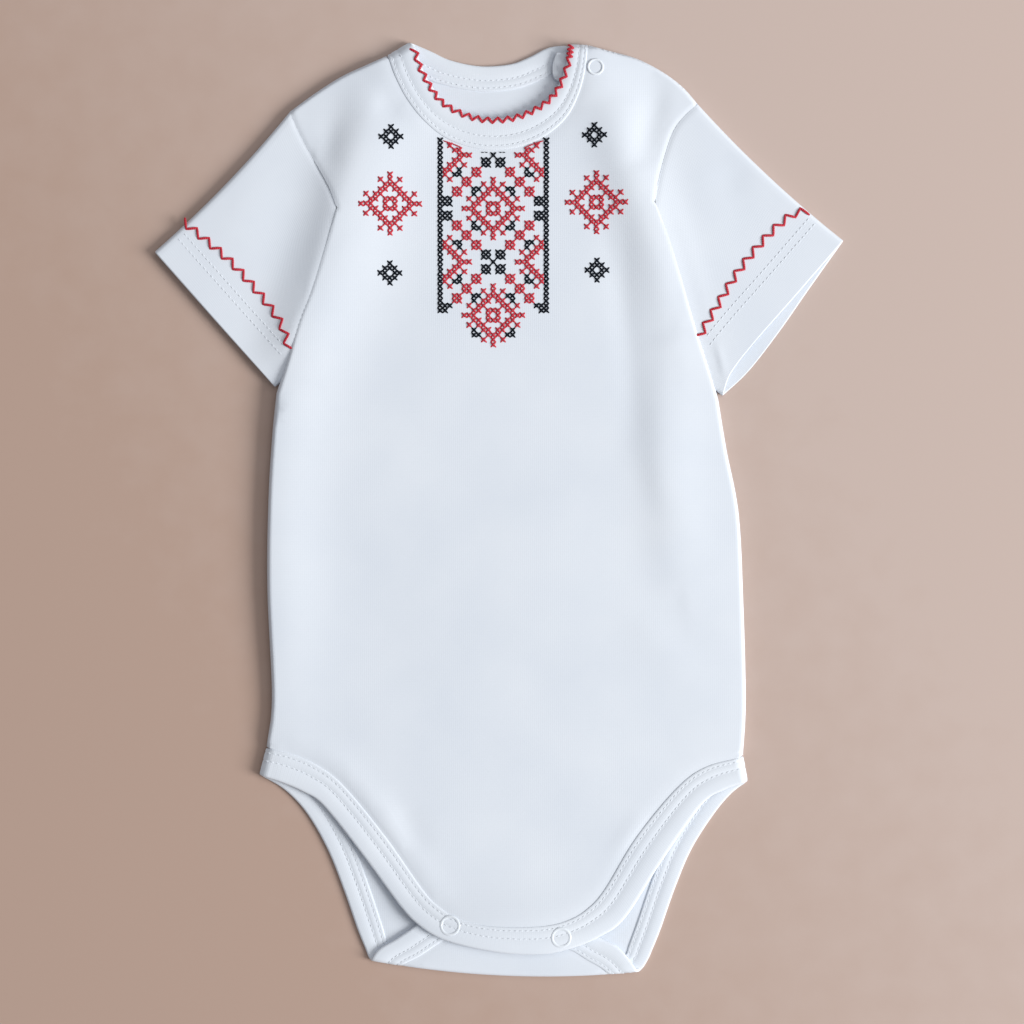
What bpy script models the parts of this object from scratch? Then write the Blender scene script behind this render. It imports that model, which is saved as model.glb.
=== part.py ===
"""A baby's short-sleeved bodysuit of white cotton knit, lying on its back on a flat surface.

The sizes are in millimetres. +X is the viewer's right, +Y is towards the neck and +Z is up.
Every cloth piece is a wall made from one of two surfaces. The front surface is a height over
the ground, rounded down at the sides. The back surface is flat on the ground, turned up at the
sides, and folds over at the crotch so that its end lies on the front side.
"""

import math

import bpy
import numpy as np
from mathutils import Vector
from mathutils.geometry import delaunay_2d_cdt

MM = 0.001

# Cloth
WALL = 1.2
SEAM_GAP = 0.3
ARMHOLE_GAP = 0.55
LEG_SEAM_GAP = 0.4
BAND_THICKNESS = 1.8
BAND_PROUD = 0.3

# Front surface: its height over the ground, and how its rims come down
FRONT_HEIGHT = 4.8
SLEEVE_HEIGHT = 4.4
TUCKED_HEIGHT = 2.8
TUCK_START = 2.0
TUCK_REACH = 13.0
SIDE_FALL = 0.5
SIDE_FALL_REACH = 12.0
FRONT_RIM_RADIUS = 3.0
ARMHOLE_BLEND = 14.0

# Back surface: how its rims come up, and the fold at the crotch
BACK_RIM_RADIUS = 2.0
FOLD_RADIUS = 1.9
FOLD_MIDDLE_X = 22.0
FOLD_MIDDLE_Y = -222.7
FOLD_RISE = 0.0011

# Nearer than this to a line, a point counts as on it
ON_LINE = 0.002

# Mesh spacing
OUTLINE_STEP = 10.0
ARMHOLE_STEP = 5.0
GRID_STEP = 17.0
BAND_STEP = 8.0
NECK_STEP = 5.5
SLEEVE_SPANS = 12
SLEEVE_LINE_STEP = 4.0
SLEEVE_STATIONS = (0.0, 0.1, 0.22, 0.36, 0.5, 0.64, 0.78, 0.9, 1.0)
TURN_SHARES = (0.0, 0.3, 1.0)
BAND_END_STEPS = (0.0, 0.9, 1.9, 3.0)

# The front stays at least RIM_LIFT over its rim, whose height changes along the garment
RIM_LIFT = 0.3
RIM_HEIGHTS = {  # y: height
    -240.0: 2.3,
    46.0: 2.3,
    62.0: 3.5,
    145.0: 4.4,
    166.0: 4.4,
    186.0: 2.3,
    240.0: 2.3,
}

# Where along the garment the front's rim starts and stops riding up with the crests
RIDE_STARTS = (54.0, 84.0)
RIDE_ENDS = (160.0, 185.0)

# Silhouette and seams, viewer's left and right
SHOULDER = {
    "left": ((-54.3, 218.0), (-65.0, 213.2), (-76.0, 208.0), (-88.0, 200.4), (-100.4, 191.4)),
    "right": ((43.1, 223.2), (54.0, 220.2), (66.0, 216.8), (78.0, 210.7), (88.0, 203.3), (95.6, 194.8)),
}
ARMHOLE_SEEN = {
    "left": ((-100.4, 191.4), (-95.5, 179.8), (-86.2, 163.0), (-81.1, 153.4), (-77.8, 144.7)),
    "right": ((95.6, 194.8), (89.2, 189.2), (83.6, 181.6), (79.2, 168.9), (76.3, 157.0), (74.9, 147.6)),
}
ARMHOLE_HIDDEN = {
    "left": ((-79.0, 128.0), (-85.0, 104.0), (-91.0, 84.0), (-97.0, 70.0), (-100.0, 64.5)),
    "right": ((77.6, 128.0), (83.0, 106.0), (90.0, 82.0), (96.4, 66.0), (99.4, 60.5)),
}
OVERHANG = {
    "left": ((-77.8, 144.7), (-83.5, 124.6), (-89.8, 105.4), (-95.5, 91.0), (-101.6, 72.0), (-107.0, 55.6)),
    "right": ((74.9, 147.6), (82.1, 128.6), (87.8, 110.2), (95.0, 86.2), (101.3, 67.0), (105.4, 52.6)),
}
SIDE = {
    "left": ((-107.0, 55.6), (-109.0, 36.0), (-110.9, 4.0), (-111.4, -38.0), (-109.2, -90.0),
             (-111.7, -113.9)),
    "right": ((105.4, 52.6), (109.4, 28.6), (115.2, -2.0), (117.4, -44.0), (118.6, -92.0),
              (117.3, -117.9)),
}
CUFF_FRONT = {
    "left": ((-165.35, 124.1), (-136.5, 91.5), (-107.4, 59.0)),
    "right": ((165.35, 129.4), (140.6, 101.0), (122.0, 79.9), (111.0, 65.5), (107.2, 54.8)),
}
CUFF_BACK = {
    "left": ((-165.35, 124.1), (-136.5, 91.5), (-107.4, 59.0)),
    "right": ((165.35, 129.4), (148.3, 105.4), (134.9, 86.2), (120.0, 67.0), (107.2, 54.8)),
}
UPPER_EDGE_SAG = 2.0

# Where the back leg binding goes over the fold: shares of its length, and the closer step there
FOLD_STRETCHES = ((0.24, 0.34, 2.2), (0.60, 0.72, 2.2))

# Bindings: the free edge and the seam edge of each section, on the ground plan
NECK_FRONT_ROWS = (  # free_x, free_y, seam_x, seam_y
    (33.8, 223.5, 42.7, 223.3),
    (32.6, 213.8, 41.6, 212.0),
    (28.9, 203.0, 38.4, 199.5),
    (23.5, 195.6, 32.0, 187.6),
    (14.5, 189.8, 20.5, 178.2),
    (4.0, 186.6, 6.5, 173.3),
    (-7.5, 186.3, -9.0, 172.9),
    (-18.7, 189.4, -24.5, 177.6),
    (-28.3, 195.4, -36.0, 186.5),
    (-34.5, 204.0, -44.5, 197.2),
    (-38.2, 213.0, -50.0, 207.8),
    (-42.7, 224.7, -53.8, 218.2),
)
NECK_BACK_ROWS = (  # free_x, free_y, seam_x, seam_y
    (-42.7, 224.7, -53.8, 218.2),
    (-33.1, 220.6, -40.5, 209.8),
    (-23.5, 216.2, -28.3, 204.5),
    (-9.0, 213.3, -9.5, 201.0),
    (5.5, 214.3, 8.5, 202.4),
    (14.9, 217.8, 20.0, 206.6),
    (25.4, 222.6, 29.5, 210.8),
    (41.6, 223.2, 41.6, 211.0),
)
FRONT_LEG_ROWS = (  # free_x, free_y, seam_x, seam_y
    (-115.2, -127.6, -111.9, -114.6),
    (-104.0, -131.2, -100.0, -117.2),
    (-94.0, -135.6, -87.5, -122.5),
    (-84.5, -142.0, -74.5, -132.6),
    (-66.2, -165.0, -54.7, -156.7),
    (-47.5, -190.3, -36.5, -182.5),
    (-37.9, -199.9, -28.5, -190.6),
    (-27.5, -206.0, -20.5, -195.6),
    (-12.0, -210.4, -8.5, -199.0),
    (5.5, -213.2, 6.0, -200.0),
    (22.0, -213.4, 22.5, -199.4),
    (35.5, -210.4, 33.5, -196.6),
    (48.0, -205.2, 42.0, -191.6),
    (60.5, -196.1, 50.5, -182.3),
    (78.0, -169.2, 65.5, -157.6),
    (97.0, -142.2, 84.5, -134.4),
    (108.0, -134.8, 98.5, -123.8),
    (119.5, -130.8, 117.4, -118.6),
)
BACK_LEG_ROWS = (  # free_x, free_y, seam_x, seam_y, True on the part folded over to the front
    (-115.2, -127.6, -111.9, -114.8, False),
    (-103.2, -134.8, -96.5, -124.6, False),
    (-92.5, -146.2, -82.6, -139.0, False),
    (-82.6, -163.4, -71.2, -158.6, False),
    (-74.9, -182.6, -63.4, -178.6, False),
    (-68.2, -201.8, -56.4, -199.4, False),
    (-64.3, -211.4, -52.6, -211.6, False),
    (-59.0, -212.4, -46.0, -219.0, True),
    (-49.5, -206.2, -38.0, -214.6, True),
    (-39.4, -199.4, -29.5, -208.9, True),
    (-31.0, -193.4, -23.0, -205.2, True),
    (-21.0, -192.9, -17.0, -204.6, True),
    (3.5, -195.6, 3.5, -207.6, True),
    (27.5, -198.4, 26.0, -210.2, True),
    (40.0, -200.6, 34.2, -211.8, True),
    (48.5, -205.7, 42.0, -216.4, True),
    (59.0, -211.9, 51.5, -222.4, True),
    (70.6, -218.4, 60.4, -214.8, False),
    (73.9, -211.4, 62.4, -209.4, False),
    (77.8, -201.8, 66.3, -198.8, False),
    (84.5, -182.6, 73.2, -178.6, False),
    (92.6, -163.4, 81.6, -158.2, False),
    (103.6, -146.2, 94.2, -138.4, False),
    (112.0, -136.4, 107.0, -125.6, False),
    (119.5, -130.8, 117.4, -118.6, False),
)

# Folds of the front and of the sleeves: a ridge is positive, a hollow is negative
CRESTS = (  # path, width on its left, width on its right, height
    (((-58.0, 206.0), (-61.0, 192.0), (-66.5, 171.0), (-71.5, 158.0), (-77.3, 139.0), (-83.0, 122.0),
      (-90.5, 104.0), (-96.5, 86.0), (-103.0, 60.0)), 26.0, 14.0, 3.2),
    (((-97.0, 86.0), (-103.0, 60.0), (-107.0, 30.0), (-109.0, -30.0), (-108.0, -100.0)), 20.0, 14.0, 2.0),
    (((52.0, 200.0), (56.6, 182.0), (63.8, 158.0), (71.5, 134.0), (75.8, 110.0), (79.7, 84.0)),
     15.0, 13.0, 2.6),
)
FRONT_FOLDS = (  # path, width on its left, width on its right, height
    (((79.0, 76.0), (78.0, 52.0), (80.0, 10.0), (86.0, -30.0)), 14.0, 11.0, 1.1),
    (((72.5, 203.0), (72.5, 188.0), (72.5, 172.0)), 6.0, 6.0, -0.8),
    (((-60.0, 196.0), (-46.0, 190.0)), 4.5, 6.0, -0.9),
    (((64.5, -51.5), (93.0, -80.3)), 8.0, 10.0, 0.4),
    (((-47.5, -142.0), (-38.0, -167.0)), 7.0, 6.0, -0.5),
)
SLEEVE_FOLDS = (  # path, width on its left, width on its right, height
    (((-112.0, 168.0), (-132.0, 128.0)), 16.0, 12.0, 0.4),
    (((108.0, 166.0), (114.0, 150.0)), 9.0, 9.0, -0.4),
    (((98.0, 170.0), (104.0, 120.0)), 12.0, 10.0, 0.3),
)
FRONT_SWELLS = (  # x, y, reach along x, reach along y, height
    (3.0, -203.0, 60.0, 17.0, 3.3),
    (46.3, 212.3, 13.0, 13.0, 1.5),
    (30.0, 222.0, 30.0, 18.0, 0.8),
)

# Right shoulder: the back's extension under the front
PLACKET_HEIGHT = 2.2
PLACKET_THICKNESS = 1.0
PLACKET_OUTLINE = (
    (27.5, 219.6),
    (25.6, 213.0),
    (26.6, 207.0),
    (32.0, 205.2),
    (50.0, 202.6),
    (62.0, 201.6),
    (68.0, 204.0),
    (67.0, 211.0),
    (60.0, 214.6),
    (45.0, 218.6),
)

# Ring snaps
SNAPS = (  # name, x, y, outer radius, inner radius
    ("shoulder_snap", 46.3, 212.3, 4.1, 2.6),
    ("crotch_snap_left", -23.5, -199.4, 4.9, 3.1),
    ("crotch_snap_right", 29.8, -205.2, 4.9, 3.1),
)
SNAP_RING_HEIGHT = 0.8
SNAP_BACK_HEIGHT = 0.6
SNAP_SIDES = 24
SNAP_MARGIN = 1.2


def clear_scene():
    for obj in list(bpy.data.objects):
        bpy.data.objects.remove(obj)


def material(name, color, roughness):
    made = bpy.data.materials.new(name)
    made.use_nodes = True
    shader = made.node_tree.nodes["Principled BSDF"]
    shader.inputs["Base Color"].default_value = (*color, 1.0)
    shader.inputs["Roughness"].default_value = roughness
    return made


# Curves on the ground plan

def through(points, steps):
    """Points of a smooth curve through the given ones, with the given number of steps in each span."""
    points = np.asarray(points, float)
    first = 2 * points[0] - points[1]
    last = 2 * points[-1] - points[-2]
    padded = np.vstack([first, points, last])
    t = np.linspace(0, 1, steps, endpoint=False)[:, None]
    spans = []
    for a, b, c, d in zip(padded, padded[1:], padded[2:], padded[3:]):
        spans.append(0.5 * (2 * b + (c - a) * t + (2 * a - 5 * b + 4 * c - d) * t**2
                            + (3 * b - a - 3 * c + d) * t**3))
    return np.vstack(spans + [points[-1:]])


def lengths(path):
    steps = np.linalg.norm(np.diff(path, axis=0), axis=1)
    return np.concatenate([[0.0], np.cumsum(steps)])


def at_lengths(path, wanted):
    """Points of a path at the given distances along it."""
    along = lengths(path)
    columns = [np.interp(wanted, along, path[:, k]) for k in range(path.shape[1])]
    return np.stack(columns, axis=1)


def smooth(points, step):
    """A smooth curve through the points, in even steps near the given one."""
    path = through(points, 12)
    total = lengths(path)[-1]
    count = max(2, round(total / step) + 1)
    return at_lengths(path, np.linspace(0, total, count))


def shifted(path, distance):
    """The path moved to its left by a distance."""
    along = np.gradient(path, axis=0)
    along /= np.linalg.norm(along, axis=1)[:, None]
    left = np.stack([-along[:, 1], along[:, 0]], axis=1)
    return path + distance * left


def nearest(points, lines):
    """How far each point is from the lines, which way, how far along the nearest line and on which side."""
    best = np.full(len(points), 1e9)
    away = np.zeros((len(points), 2))
    share = np.zeros(len(points))
    side = np.zeros(len(points))
    for line in lines:
        along = lengths(line)
        for i in range(len(line) - 1):
            start = line[i]
            run = line[i + 1] - start
            size = np.linalg.norm(run)
            t = np.clip(((points - start) @ run) / size**2, 0, 1)
            offset = points - (start + t[:, None] * run)
            distance = np.linalg.norm(offset, axis=1)
            normal = np.array([-run[1], run[0]]) / size
            closer = distance < best
            best[closer] = distance[closer]
            clear = distance > ON_LINE
            plain = np.where(clear[:, None], offset / np.maximum(distance, ON_LINE)[:, None], normal)
            away[closer] = plain[closer]
            share[closer] = ((along[i] + t * size) / along[-1])[closer]
            side[closer] = np.sign(offset @ normal)[closer]
    return best, away, share, side


def inside(points, outline):
    """True for each point that the closed outline holds."""
    x, y = points[:, 0], points[:, 1]
    found = np.zeros(len(points), bool)
    for a, b in zip(outline, np.roll(outline, -1, axis=0)):
        crosses = (a[1] > y) != (b[1] > y)
        if a[1] != b[1]:
            found ^= crosses & (x < (b[0] - a[0]) * (y - a[1]) / (b[1] - a[1]) + a[0])
    return found


def ramp(value, low, high):
    t = np.clip((value - low) / (high - low), 0, 1)
    return t * t * (3 - 2 * t)


# The two surfaces that the cloth lies on

SIDES = ("left", "right")
ARMHOLES = {side: smooth(ARMHOLE_SEEN[side] + ARMHOLE_HIDDEN[side], ARMHOLE_STEP) for side in SIDES}
SEEN_SEAMS = {side: smooth(ARMHOLE_SEEN[side], 4.0) for side in SIDES}
OVERHANGS = {side: smooth(OVERHANG[side], 4.0) for side in SIDES}
INSIDE_BODY = np.array([[0.0, 48.0], [0.0, 192.0]])
BODY_HALVES = {side: np.vstack([SEEN_SEAMS[side], OVERHANGS[side], INSIDE_BODY]) for side in SIDES}


def band_end(row):
    """The short side of a binding, from its seam edge to its free edge."""
    return np.array([row[2:4], row[0:2]], float)


# Each rim runs so that the cloth lies on its left
SIDE_RIMS = [
    smooth(SHOULDER["left"], 5.0),
    smooth(SHOULDER["right"], 5.0)[::-1],
    smooth(SIDE["left"], 5.0),
    smooth(SIDE["right"], 5.0)[::-1],
    band_end(FRONT_LEG_ROWS[0]),
    band_end(FRONT_LEG_ROWS[-1])[::-1],
    band_end(NECK_FRONT_ROWS[-1])[::-1],
    band_end(NECK_FRONT_ROWS[0]),
]
FRONT_RIMS = SIDE_RIMS + [OVERHANGS["left"], OVERHANGS["right"][::-1]]
SEEN_SEAM_LINES = list(SEEN_SEAMS.values())


def fold_heights(points, folds):
    """The height that a table of folds adds at each point."""
    total = np.zeros(len(points))
    for path, left_width, right_width, height in folds:
        distance, _, share, side = nearest(points, [through(path, 6)])
        width = np.where(side > 0, left_width, right_width)
        fade = 0.25 + 0.75 * np.sin(np.pi * np.clip(share, 0.02, 0.98)) ** 0.7
        total += height * fade * np.exp(-((distance / width) ** 2))
    return total


def crest(points):
    """The high folds that front and sleeves share."""
    return fold_heights(points, CRESTS)


def sleeve_base(points):
    return SLEEVE_HEIGHT + fold_heights(points, SLEEVE_FOLDS)


def rim_height(points):
    """Height of the front's rim, which rides up with the crests only over the sleeves."""
    y = points[:, 1]
    rim = np.interp(y, list(RIM_HEIGHTS), list(RIM_HEIGHTS.values()))
    return rim + ramp(y, *RIDE_STARTS) * (1 - ramp(y, *RIDE_ENDS)) * crest(points)


def front_base(points):
    """Height of the front's outer face, before its rims come down."""
    height = FRONT_HEIGHT + fold_heights(points, FRONT_FOLDS)
    for x, y, reach_x, reach_y, swell in FRONT_SWELLS:
        across = (points[:, 0] - x) / reach_x
        along = (points[:, 1] - y) / reach_y
        height += swell * np.exp(-(across**2) - along**2)
    rim_distance = nearest(points, FRONT_RIMS)[0]
    height -= SIDE_FALL * np.exp(-rim_distance / SIDE_FALL_REACH)
    seam_distance = nearest(points, SEEN_SEAM_LINES)[0]
    share = 1 - ramp(seam_distance, 0, ARMHOLE_BLEND)
    height += share * (sleeve_base(points) - height)
    return np.maximum(height + crest(points), rim_height(points) + RIM_LIFT)


def slopes(height_of, points, step=0.6):
    right = height_of(points + (step, 0)) - height_of(points - (step, 0))
    up = height_of(points + (0, step)) - height_of(points - (0, step))
    return np.stack([-right, -up, np.full(len(points), 2 * step)], axis=1)


def unit(vectors):
    return vectors / np.linalg.norm(vectors, axis=-1, keepdims=True)


def front_surface(points, offset):
    """The front's outer face over each plan point, moved out along its normal."""
    points = np.asarray(points, float)
    distance, away, _, _ = nearest(points, FRONT_RIMS)
    lean = np.clip(1 - distance / FRONT_RIM_RADIUS, 0, 1)
    lift = np.sqrt(1 - lean**2)
    rim = rim_height(points)
    height = rim + (front_base(points) - rim) * lift
    up = unit(slopes(front_base, points))
    outward = np.hstack([-away, np.zeros((len(points), 1))])
    normal = unit(up * lift[:, None] + outward * lean[:, None])
    return np.column_stack([points, height]) + normal * np.reshape(offset, (-1, 1))


def fold_line(x):
    """Where the back starts to turn over at the crotch."""
    return FOLD_MIDDLE_Y + FOLD_RISE * (x - FOLD_MIDDLE_X) ** 2


def past_fold(x, y):
    """Where a point of the part that is folded over lies on the back's flat pattern."""
    line = fold_line(x)
    return line - (y - line) - math.pi * FOLD_RADIUS


def back_surface(points, offset):
    """The back's outer face over each point of its flat pattern, moved out along its normal."""
    points = np.asarray(points, float)
    distance, away, _, _ = nearest(points, SIDE_RIMS)
    lean = np.clip(1 - distance / BACK_RIM_RADIUS, 0, 1)
    lift = np.sqrt(1 - lean**2)
    outward = np.hstack([-away, np.zeros((len(points), 1))])
    normal = unit(np.array([0, 0, -1.0]) * lift[:, None] + outward * lean[:, None])
    place = np.column_stack([points, BACK_RIM_RADIUS * (1 - lift)])
    line = fold_line(points[:, 0])
    past = line - points[:, 1]
    turned = past > 0
    angle = np.clip(past / FOLD_RADIUS, 0, math.pi)
    beyond = np.maximum(past - math.pi * FOLD_RADIUS, 0)
    turned_place = np.stack([points[:, 0], line - FOLD_RADIUS * np.sin(angle) + beyond,
                             FOLD_RADIUS * (1 - np.cos(angle))], axis=1)
    turned_normal = np.stack([0 * angle, -np.sin(angle), -np.cos(angle)], axis=1)
    place[turned] = turned_place[turned]
    normal[turned] = turned_normal[turned]
    return place + normal * np.reshape(offset, (-1, 1))


def flap_share(points):
    """0 where the back lies on the ground, 1 where it is folded over."""
    return ramp(fold_line(points[:, 0]) - points[:, 1], 0, math.pi * FOLD_RADIUS)


# Solids

def add_mesh(name, points, faces, look):
    """A smooth-shaded object with its faces turned outwards."""
    volume = 0.0
    for face in faces:
        a = points[face[0]]
        for b, c in zip(face[1:], face[2:]):
            volume += np.dot(a, np.cross(points[b], points[c]))
    if volume < 0:
        faces = [face[::-1] for face in faces]
    mesh = bpy.data.meshes.new(name)
    mesh.from_pydata([Vector(p) for p in points * MM], [], [[int(i) for i in face] for face in faces])
    mesh.shade_smooth()
    mesh.set_sharp_from_angle(angle=math.radians(45))
    mesh.materials.append(look)
    obj = bpy.data.objects.new(name, mesh)
    bpy.context.scene.collection.objects.link(obj)
    return obj


def grid_points(outline):
    low, high = outline.min(axis=0), outline.max(axis=0)
    rows = np.arange(low[1], high[1], GRID_STEP * math.sqrt(3) / 2)
    found = []
    for i, y in enumerate(rows):
        shift = (i % 2) * GRID_STEP / 2
        for x in np.arange(low[0] + shift, high[0], GRID_STEP):
            found.append((x, y))
    return np.array(found)


def rim_points(rims, radius, steps):
    """Rows of points inside each rim, close together where the cloth turns."""
    rows = []
    for rim in rims:
        total = lengths(rim)[-1]
        even = at_lengths(rim, np.linspace(0, total, max(2, round(total / OUTLINE_STEP))))
        for share in steps:
            rows.append(shifted(even, share * radius))
            rows.append(shifted(even, -share * radius))
    return np.vstack(rows)


def fold_points(folds):
    """Points along the crest of each fold and on both its flanks."""
    rows = []
    for path, left_width, right_width, _ in folds:
        line = smooth(path, 13.0)
        rows += [line, shifted(line, left_width), shifted(line, -right_width)]
    return np.vstack(rows)


def snap_points(names):
    """Points round some snaps, so that the cloth under them is as flat as it really is."""
    turns = np.linspace(0, 2 * math.pi, 8, endpoint=False)
    rows = []
    for name, x, y, outer, _ in SNAPS:
        if name in names:
            rows.append(np.array([[x, y]]))
            around = np.stack([np.cos(turns), np.sin(turns)], axis=1)
            rows.append((x, y) + (outer + SNAP_MARGIN) * around)
    return np.vstack(rows)


def triangulated(outline, *groups):
    """A flat mesh of an outline, with groups of inner points, the first ones kept where they crowd."""
    inner = []
    edge = np.vstack([outline, outline[:1]])
    for points, near_outline, apart in groups:
        if len(points) == 0:
            continue
        distance = nearest(points, [edge])[0]
        for point in points[inside(points, outline) & (distance > near_outline)]:
            if all(math.dist(point, other) > apart for other in inner):
                inner.append(point)
    flat = [Vector(p) for p in outline] + [Vector(p) for p in inner]
    loop = [(i, (i + 1) % len(outline)) for i in range(len(outline))]
    made = delaunay_2d_cdt(flat, loop, [], 1, 1e-4)
    return np.array([tuple(v) for v in made[0]]), [tuple(face) for face in made[2]]


def panel(name, flat, faces, surface, thickness, look, out=0.0):
    """A wall of cloth over a flat mesh, from its outer face inwards."""
    outer = surface(flat, np.full(len(flat), out))
    inner = surface(flat, np.full(len(flat), out - thickness))
    count = len(flat)
    solid = [tuple(face) for face in faces]
    solid += [tuple(i + count for i in reversed(face)) for face in faces]
    used = {}
    for face in faces:
        for a, b in zip(face, face[1:] + face[:1]):
            used[(a, b)] = used.get((b, a)) is None
            if (b, a) in used:
                used[(b, a)] = False
                used[(a, b)] = False
    for (a, b), open_edge in used.items():
        if open_edge:
            solid.append((b, a, a + count, b + count))
    return add_mesh(name, np.vstack([outer, inner]), solid, look)


def tube(name, rings, look, capped=True):
    """A solid lofted through rings of points. Without caps, the first and last ring are joined."""
    count, around = rings.shape[:2]
    faces = []
    for i in range(count if not capped else count - 1):
        for j in range(around):
            a = i * around + j
            b = i * around + (j + 1) % around
            c = ((i + 1) % count) * around + (j + 1) % around
            d = ((i + 1) % count) * around + j
            faces.append((a, b, c, d))
    if capped:
        faces.append(tuple(range(around))[::-1])
        faces.append(tuple((count - 1) * around + j for j in range(around)))
    return add_mesh(name, rings.reshape(-1, 3), faces, look)


# How the outer and inner faces and the round edges of a binding lie across it
BAND_SECTION = (  # share of the width from the free edge, share of the thickness from the outer face
    (0.0, 0.5),
    (0.06, 0.0),
    (0.5, 0.0),
    (0.94, 0.0),
    (1.0, 0.5),
    (0.94, 1.0),
    (0.5, 1.0),
    (0.06, 1.0),
)


def band_rings(rows, surface, proud, stations):
    """The rings of a binding between its two edges, at the given shares of its length."""
    rows = np.array([row[:4] for row in rows], float)
    edges = through(rows, 12)
    share = np.linspace(0, 1, len(edges))
    at = np.stack([np.interp(stations, share, edges[:, k]) for k in range(4)], axis=1)
    rings = []
    for width_share, depth_share in BAND_SECTION:
        plan = at[:, :2] + width_share * (at[:, 2:] - at[:, :2])
        stands = proud(plan)
        rings.append(surface(plan, stands - depth_share * BAND_THICKNESS))
    return np.stack(rings, axis=1)


def band_stations(rows, step=BAND_STEP, dense=()):
    """Shares of a binding's length: even steps, closer at both ends and in the dense stretches."""
    edges = through(np.array([row[:4] for row in rows], float), 12)
    along = lengths(0.5 * (edges[:, :2] + edges[:, 2:]))
    total = along[-1]
    wanted = list(BAND_END_STEPS) + [total - step for step in BAND_END_STEPS]
    wanted += list(np.linspace(0, total, round(total / step) + 1)[1:-1])
    for low, high, close in dense:
        wanted += list(np.arange(low * total, high * total, close))
    kept = []
    for length in sorted(wanted):
        if not kept or length - kept[-1] > 0.75:
            kept.append(length)
    kept[-1] = total
    return np.interp(kept, along, np.linspace(0, 1, len(edges)))


def edge_of(rows, first_column, step):
    """One long edge of a binding as an even path."""
    return smooth([row[first_column:first_column + 2] for row in rows], step)


def front_body(look):
    neck = edge_of(NECK_FRONT_ROWS, 2, NECK_STEP)
    legs = edge_of(FRONT_LEG_ROWS, 2, OUTLINE_STEP)
    loop = [
        shifted(neck, SEAM_GAP)[1:-1],
        smooth(SHOULDER["left"], OUTLINE_STEP),
        smooth(ARMHOLE_SEEN["left"], ARMHOLE_STEP)[1:],
        smooth(OVERHANG["left"], OUTLINE_STEP)[1:],
        smooth(SIDE["left"], OUTLINE_STEP)[1:],
        shifted(legs, LEG_SEAM_GAP)[1:-1],
        smooth(SIDE["right"], OUTLINE_STEP)[::-1],
        smooth(OVERHANG["right"], OUTLINE_STEP)[::-1][1:],
        smooth(ARMHOLE_SEEN["right"], ARMHOLE_STEP)[::-1][1:],
        smooth(SHOULDER["right"], OUTLINE_STEP)[::-1][1:],
    ]
    outline = np.vstack(loop)
    flat, faces = triangulated(
        outline,
        (snap_points(("shoulder_snap",)), 1.0, 1.0),
        (rim_points(FRONT_RIMS, FRONT_RIM_RADIUS, (0.3, 1.0)), 0.6, 1.2),
        (fold_points(CRESTS + FRONT_FOLDS), 2.5, 4.0),
        (grid_points(outline), 0.4 * GRID_STEP, 0.55 * GRID_STEP),
    )
    return panel("front_body", flat, faces, front_surface, WALL, look)


def back_rows():
    """The back leg binding's rows on the back's flat pattern."""
    rows = []
    for free_x, free_y, seam_x, seam_y, folded in BACK_LEG_ROWS:
        if folded:
            free_y = past_fold(free_x, free_y)
            seam_y = past_fold(seam_x, seam_y)
        rows.append((free_x, free_y, seam_x, seam_y))
    return rows


def back_body(look):
    neck = edge_of(NECK_BACK_ROWS, 2, NECK_STEP)
    legs = edge_of(back_rows(), 2, OUTLINE_STEP / 2)
    neck_end = neck[-1:] + (SEAM_GAP, -SEAM_GAP)
    loop = [
        smooth(SHOULDER["left"], OUTLINE_STEP),
        ARMHOLES["left"][1:],
        smooth(SIDE["left"], OUTLINE_STEP),
        shifted(legs, LEG_SEAM_GAP)[1:-1],
        smooth(SIDE["right"], OUTLINE_STEP)[::-1],
        ARMHOLES["right"][::-1],
        smooth(SHOULDER["right"], OUTLINE_STEP)[::-1][1:],
        neck_end,
        shifted(neck[::-1], SEAM_GAP)[1:-1],
    ]
    outline = np.vstack(loop)
    across = np.arange(-50.0, 66.0, 9.0)
    fold_rows = []
    for share in (0, 0.25, 0.5, 0.75, 1):
        fold_rows.append(np.stack([across, fold_line(across) - share * math.pi * FOLD_RADIUS], axis=1))
    flat, faces = triangulated(
        outline,
        (np.vstack(fold_rows), 1.2, 1.0),
        (snap_points(("shoulder_snap",)), 0.8, 1.0),
        (rim_points(SIDE_RIMS, BACK_RIM_RADIUS, (0.3, 1.0)), 0.5, 1.0),
        (grid_points(outline), 0.4 * GRID_STEP, 0.55 * GRID_STEP),
    )
    return panel("back_body", flat, faces, back_surface, WALL, look)


def sleeve_height(points, side):
    """Height of a sleeve's upper layer: lower where it goes under the front."""
    distance = nearest(points, [OVERHANGS[side]])[0]
    distance[inside(points, BODY_HALVES[side])] = 0
    tucked = 1 - ramp(distance, TUCK_START, TUCK_REACH)
    base = sleeve_base(points)
    rides = ramp(points[:, 1], *RIDE_STARTS)
    return base + tucked * (TUCKED_HEIGHT - base) + rides * crest(points)


def sleeve_lines(side, cuff_points):
    """Lines across one layer of a sleeve, from its upper edge to its lower one, at each station."""
    outward = -1 if side == "left" else 1
    armhole = shifted(ARMHOLES[side], outward * ARMHOLE_GAP)
    cuff = smooth(cuff_points, SLEEVE_LINE_STEP)
    across = np.linspace(0, 1, 60)
    start = at_lengths(armhole, across * lengths(armhole)[-1])
    end = at_lengths(cuff, across * lengths(cuff)[-1])
    lines = []
    for share in SLEEVE_STATIONS:
        sag = UPPER_EDGE_SAG * 4 * share * (1 - share) * (1 - across) ** 4
        inwards = np.stack([-outward * 0.7 * sag, -0.7 * sag], axis=1)
        lines.append(start + share * (end - start) + inwards)
    return lines


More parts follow.
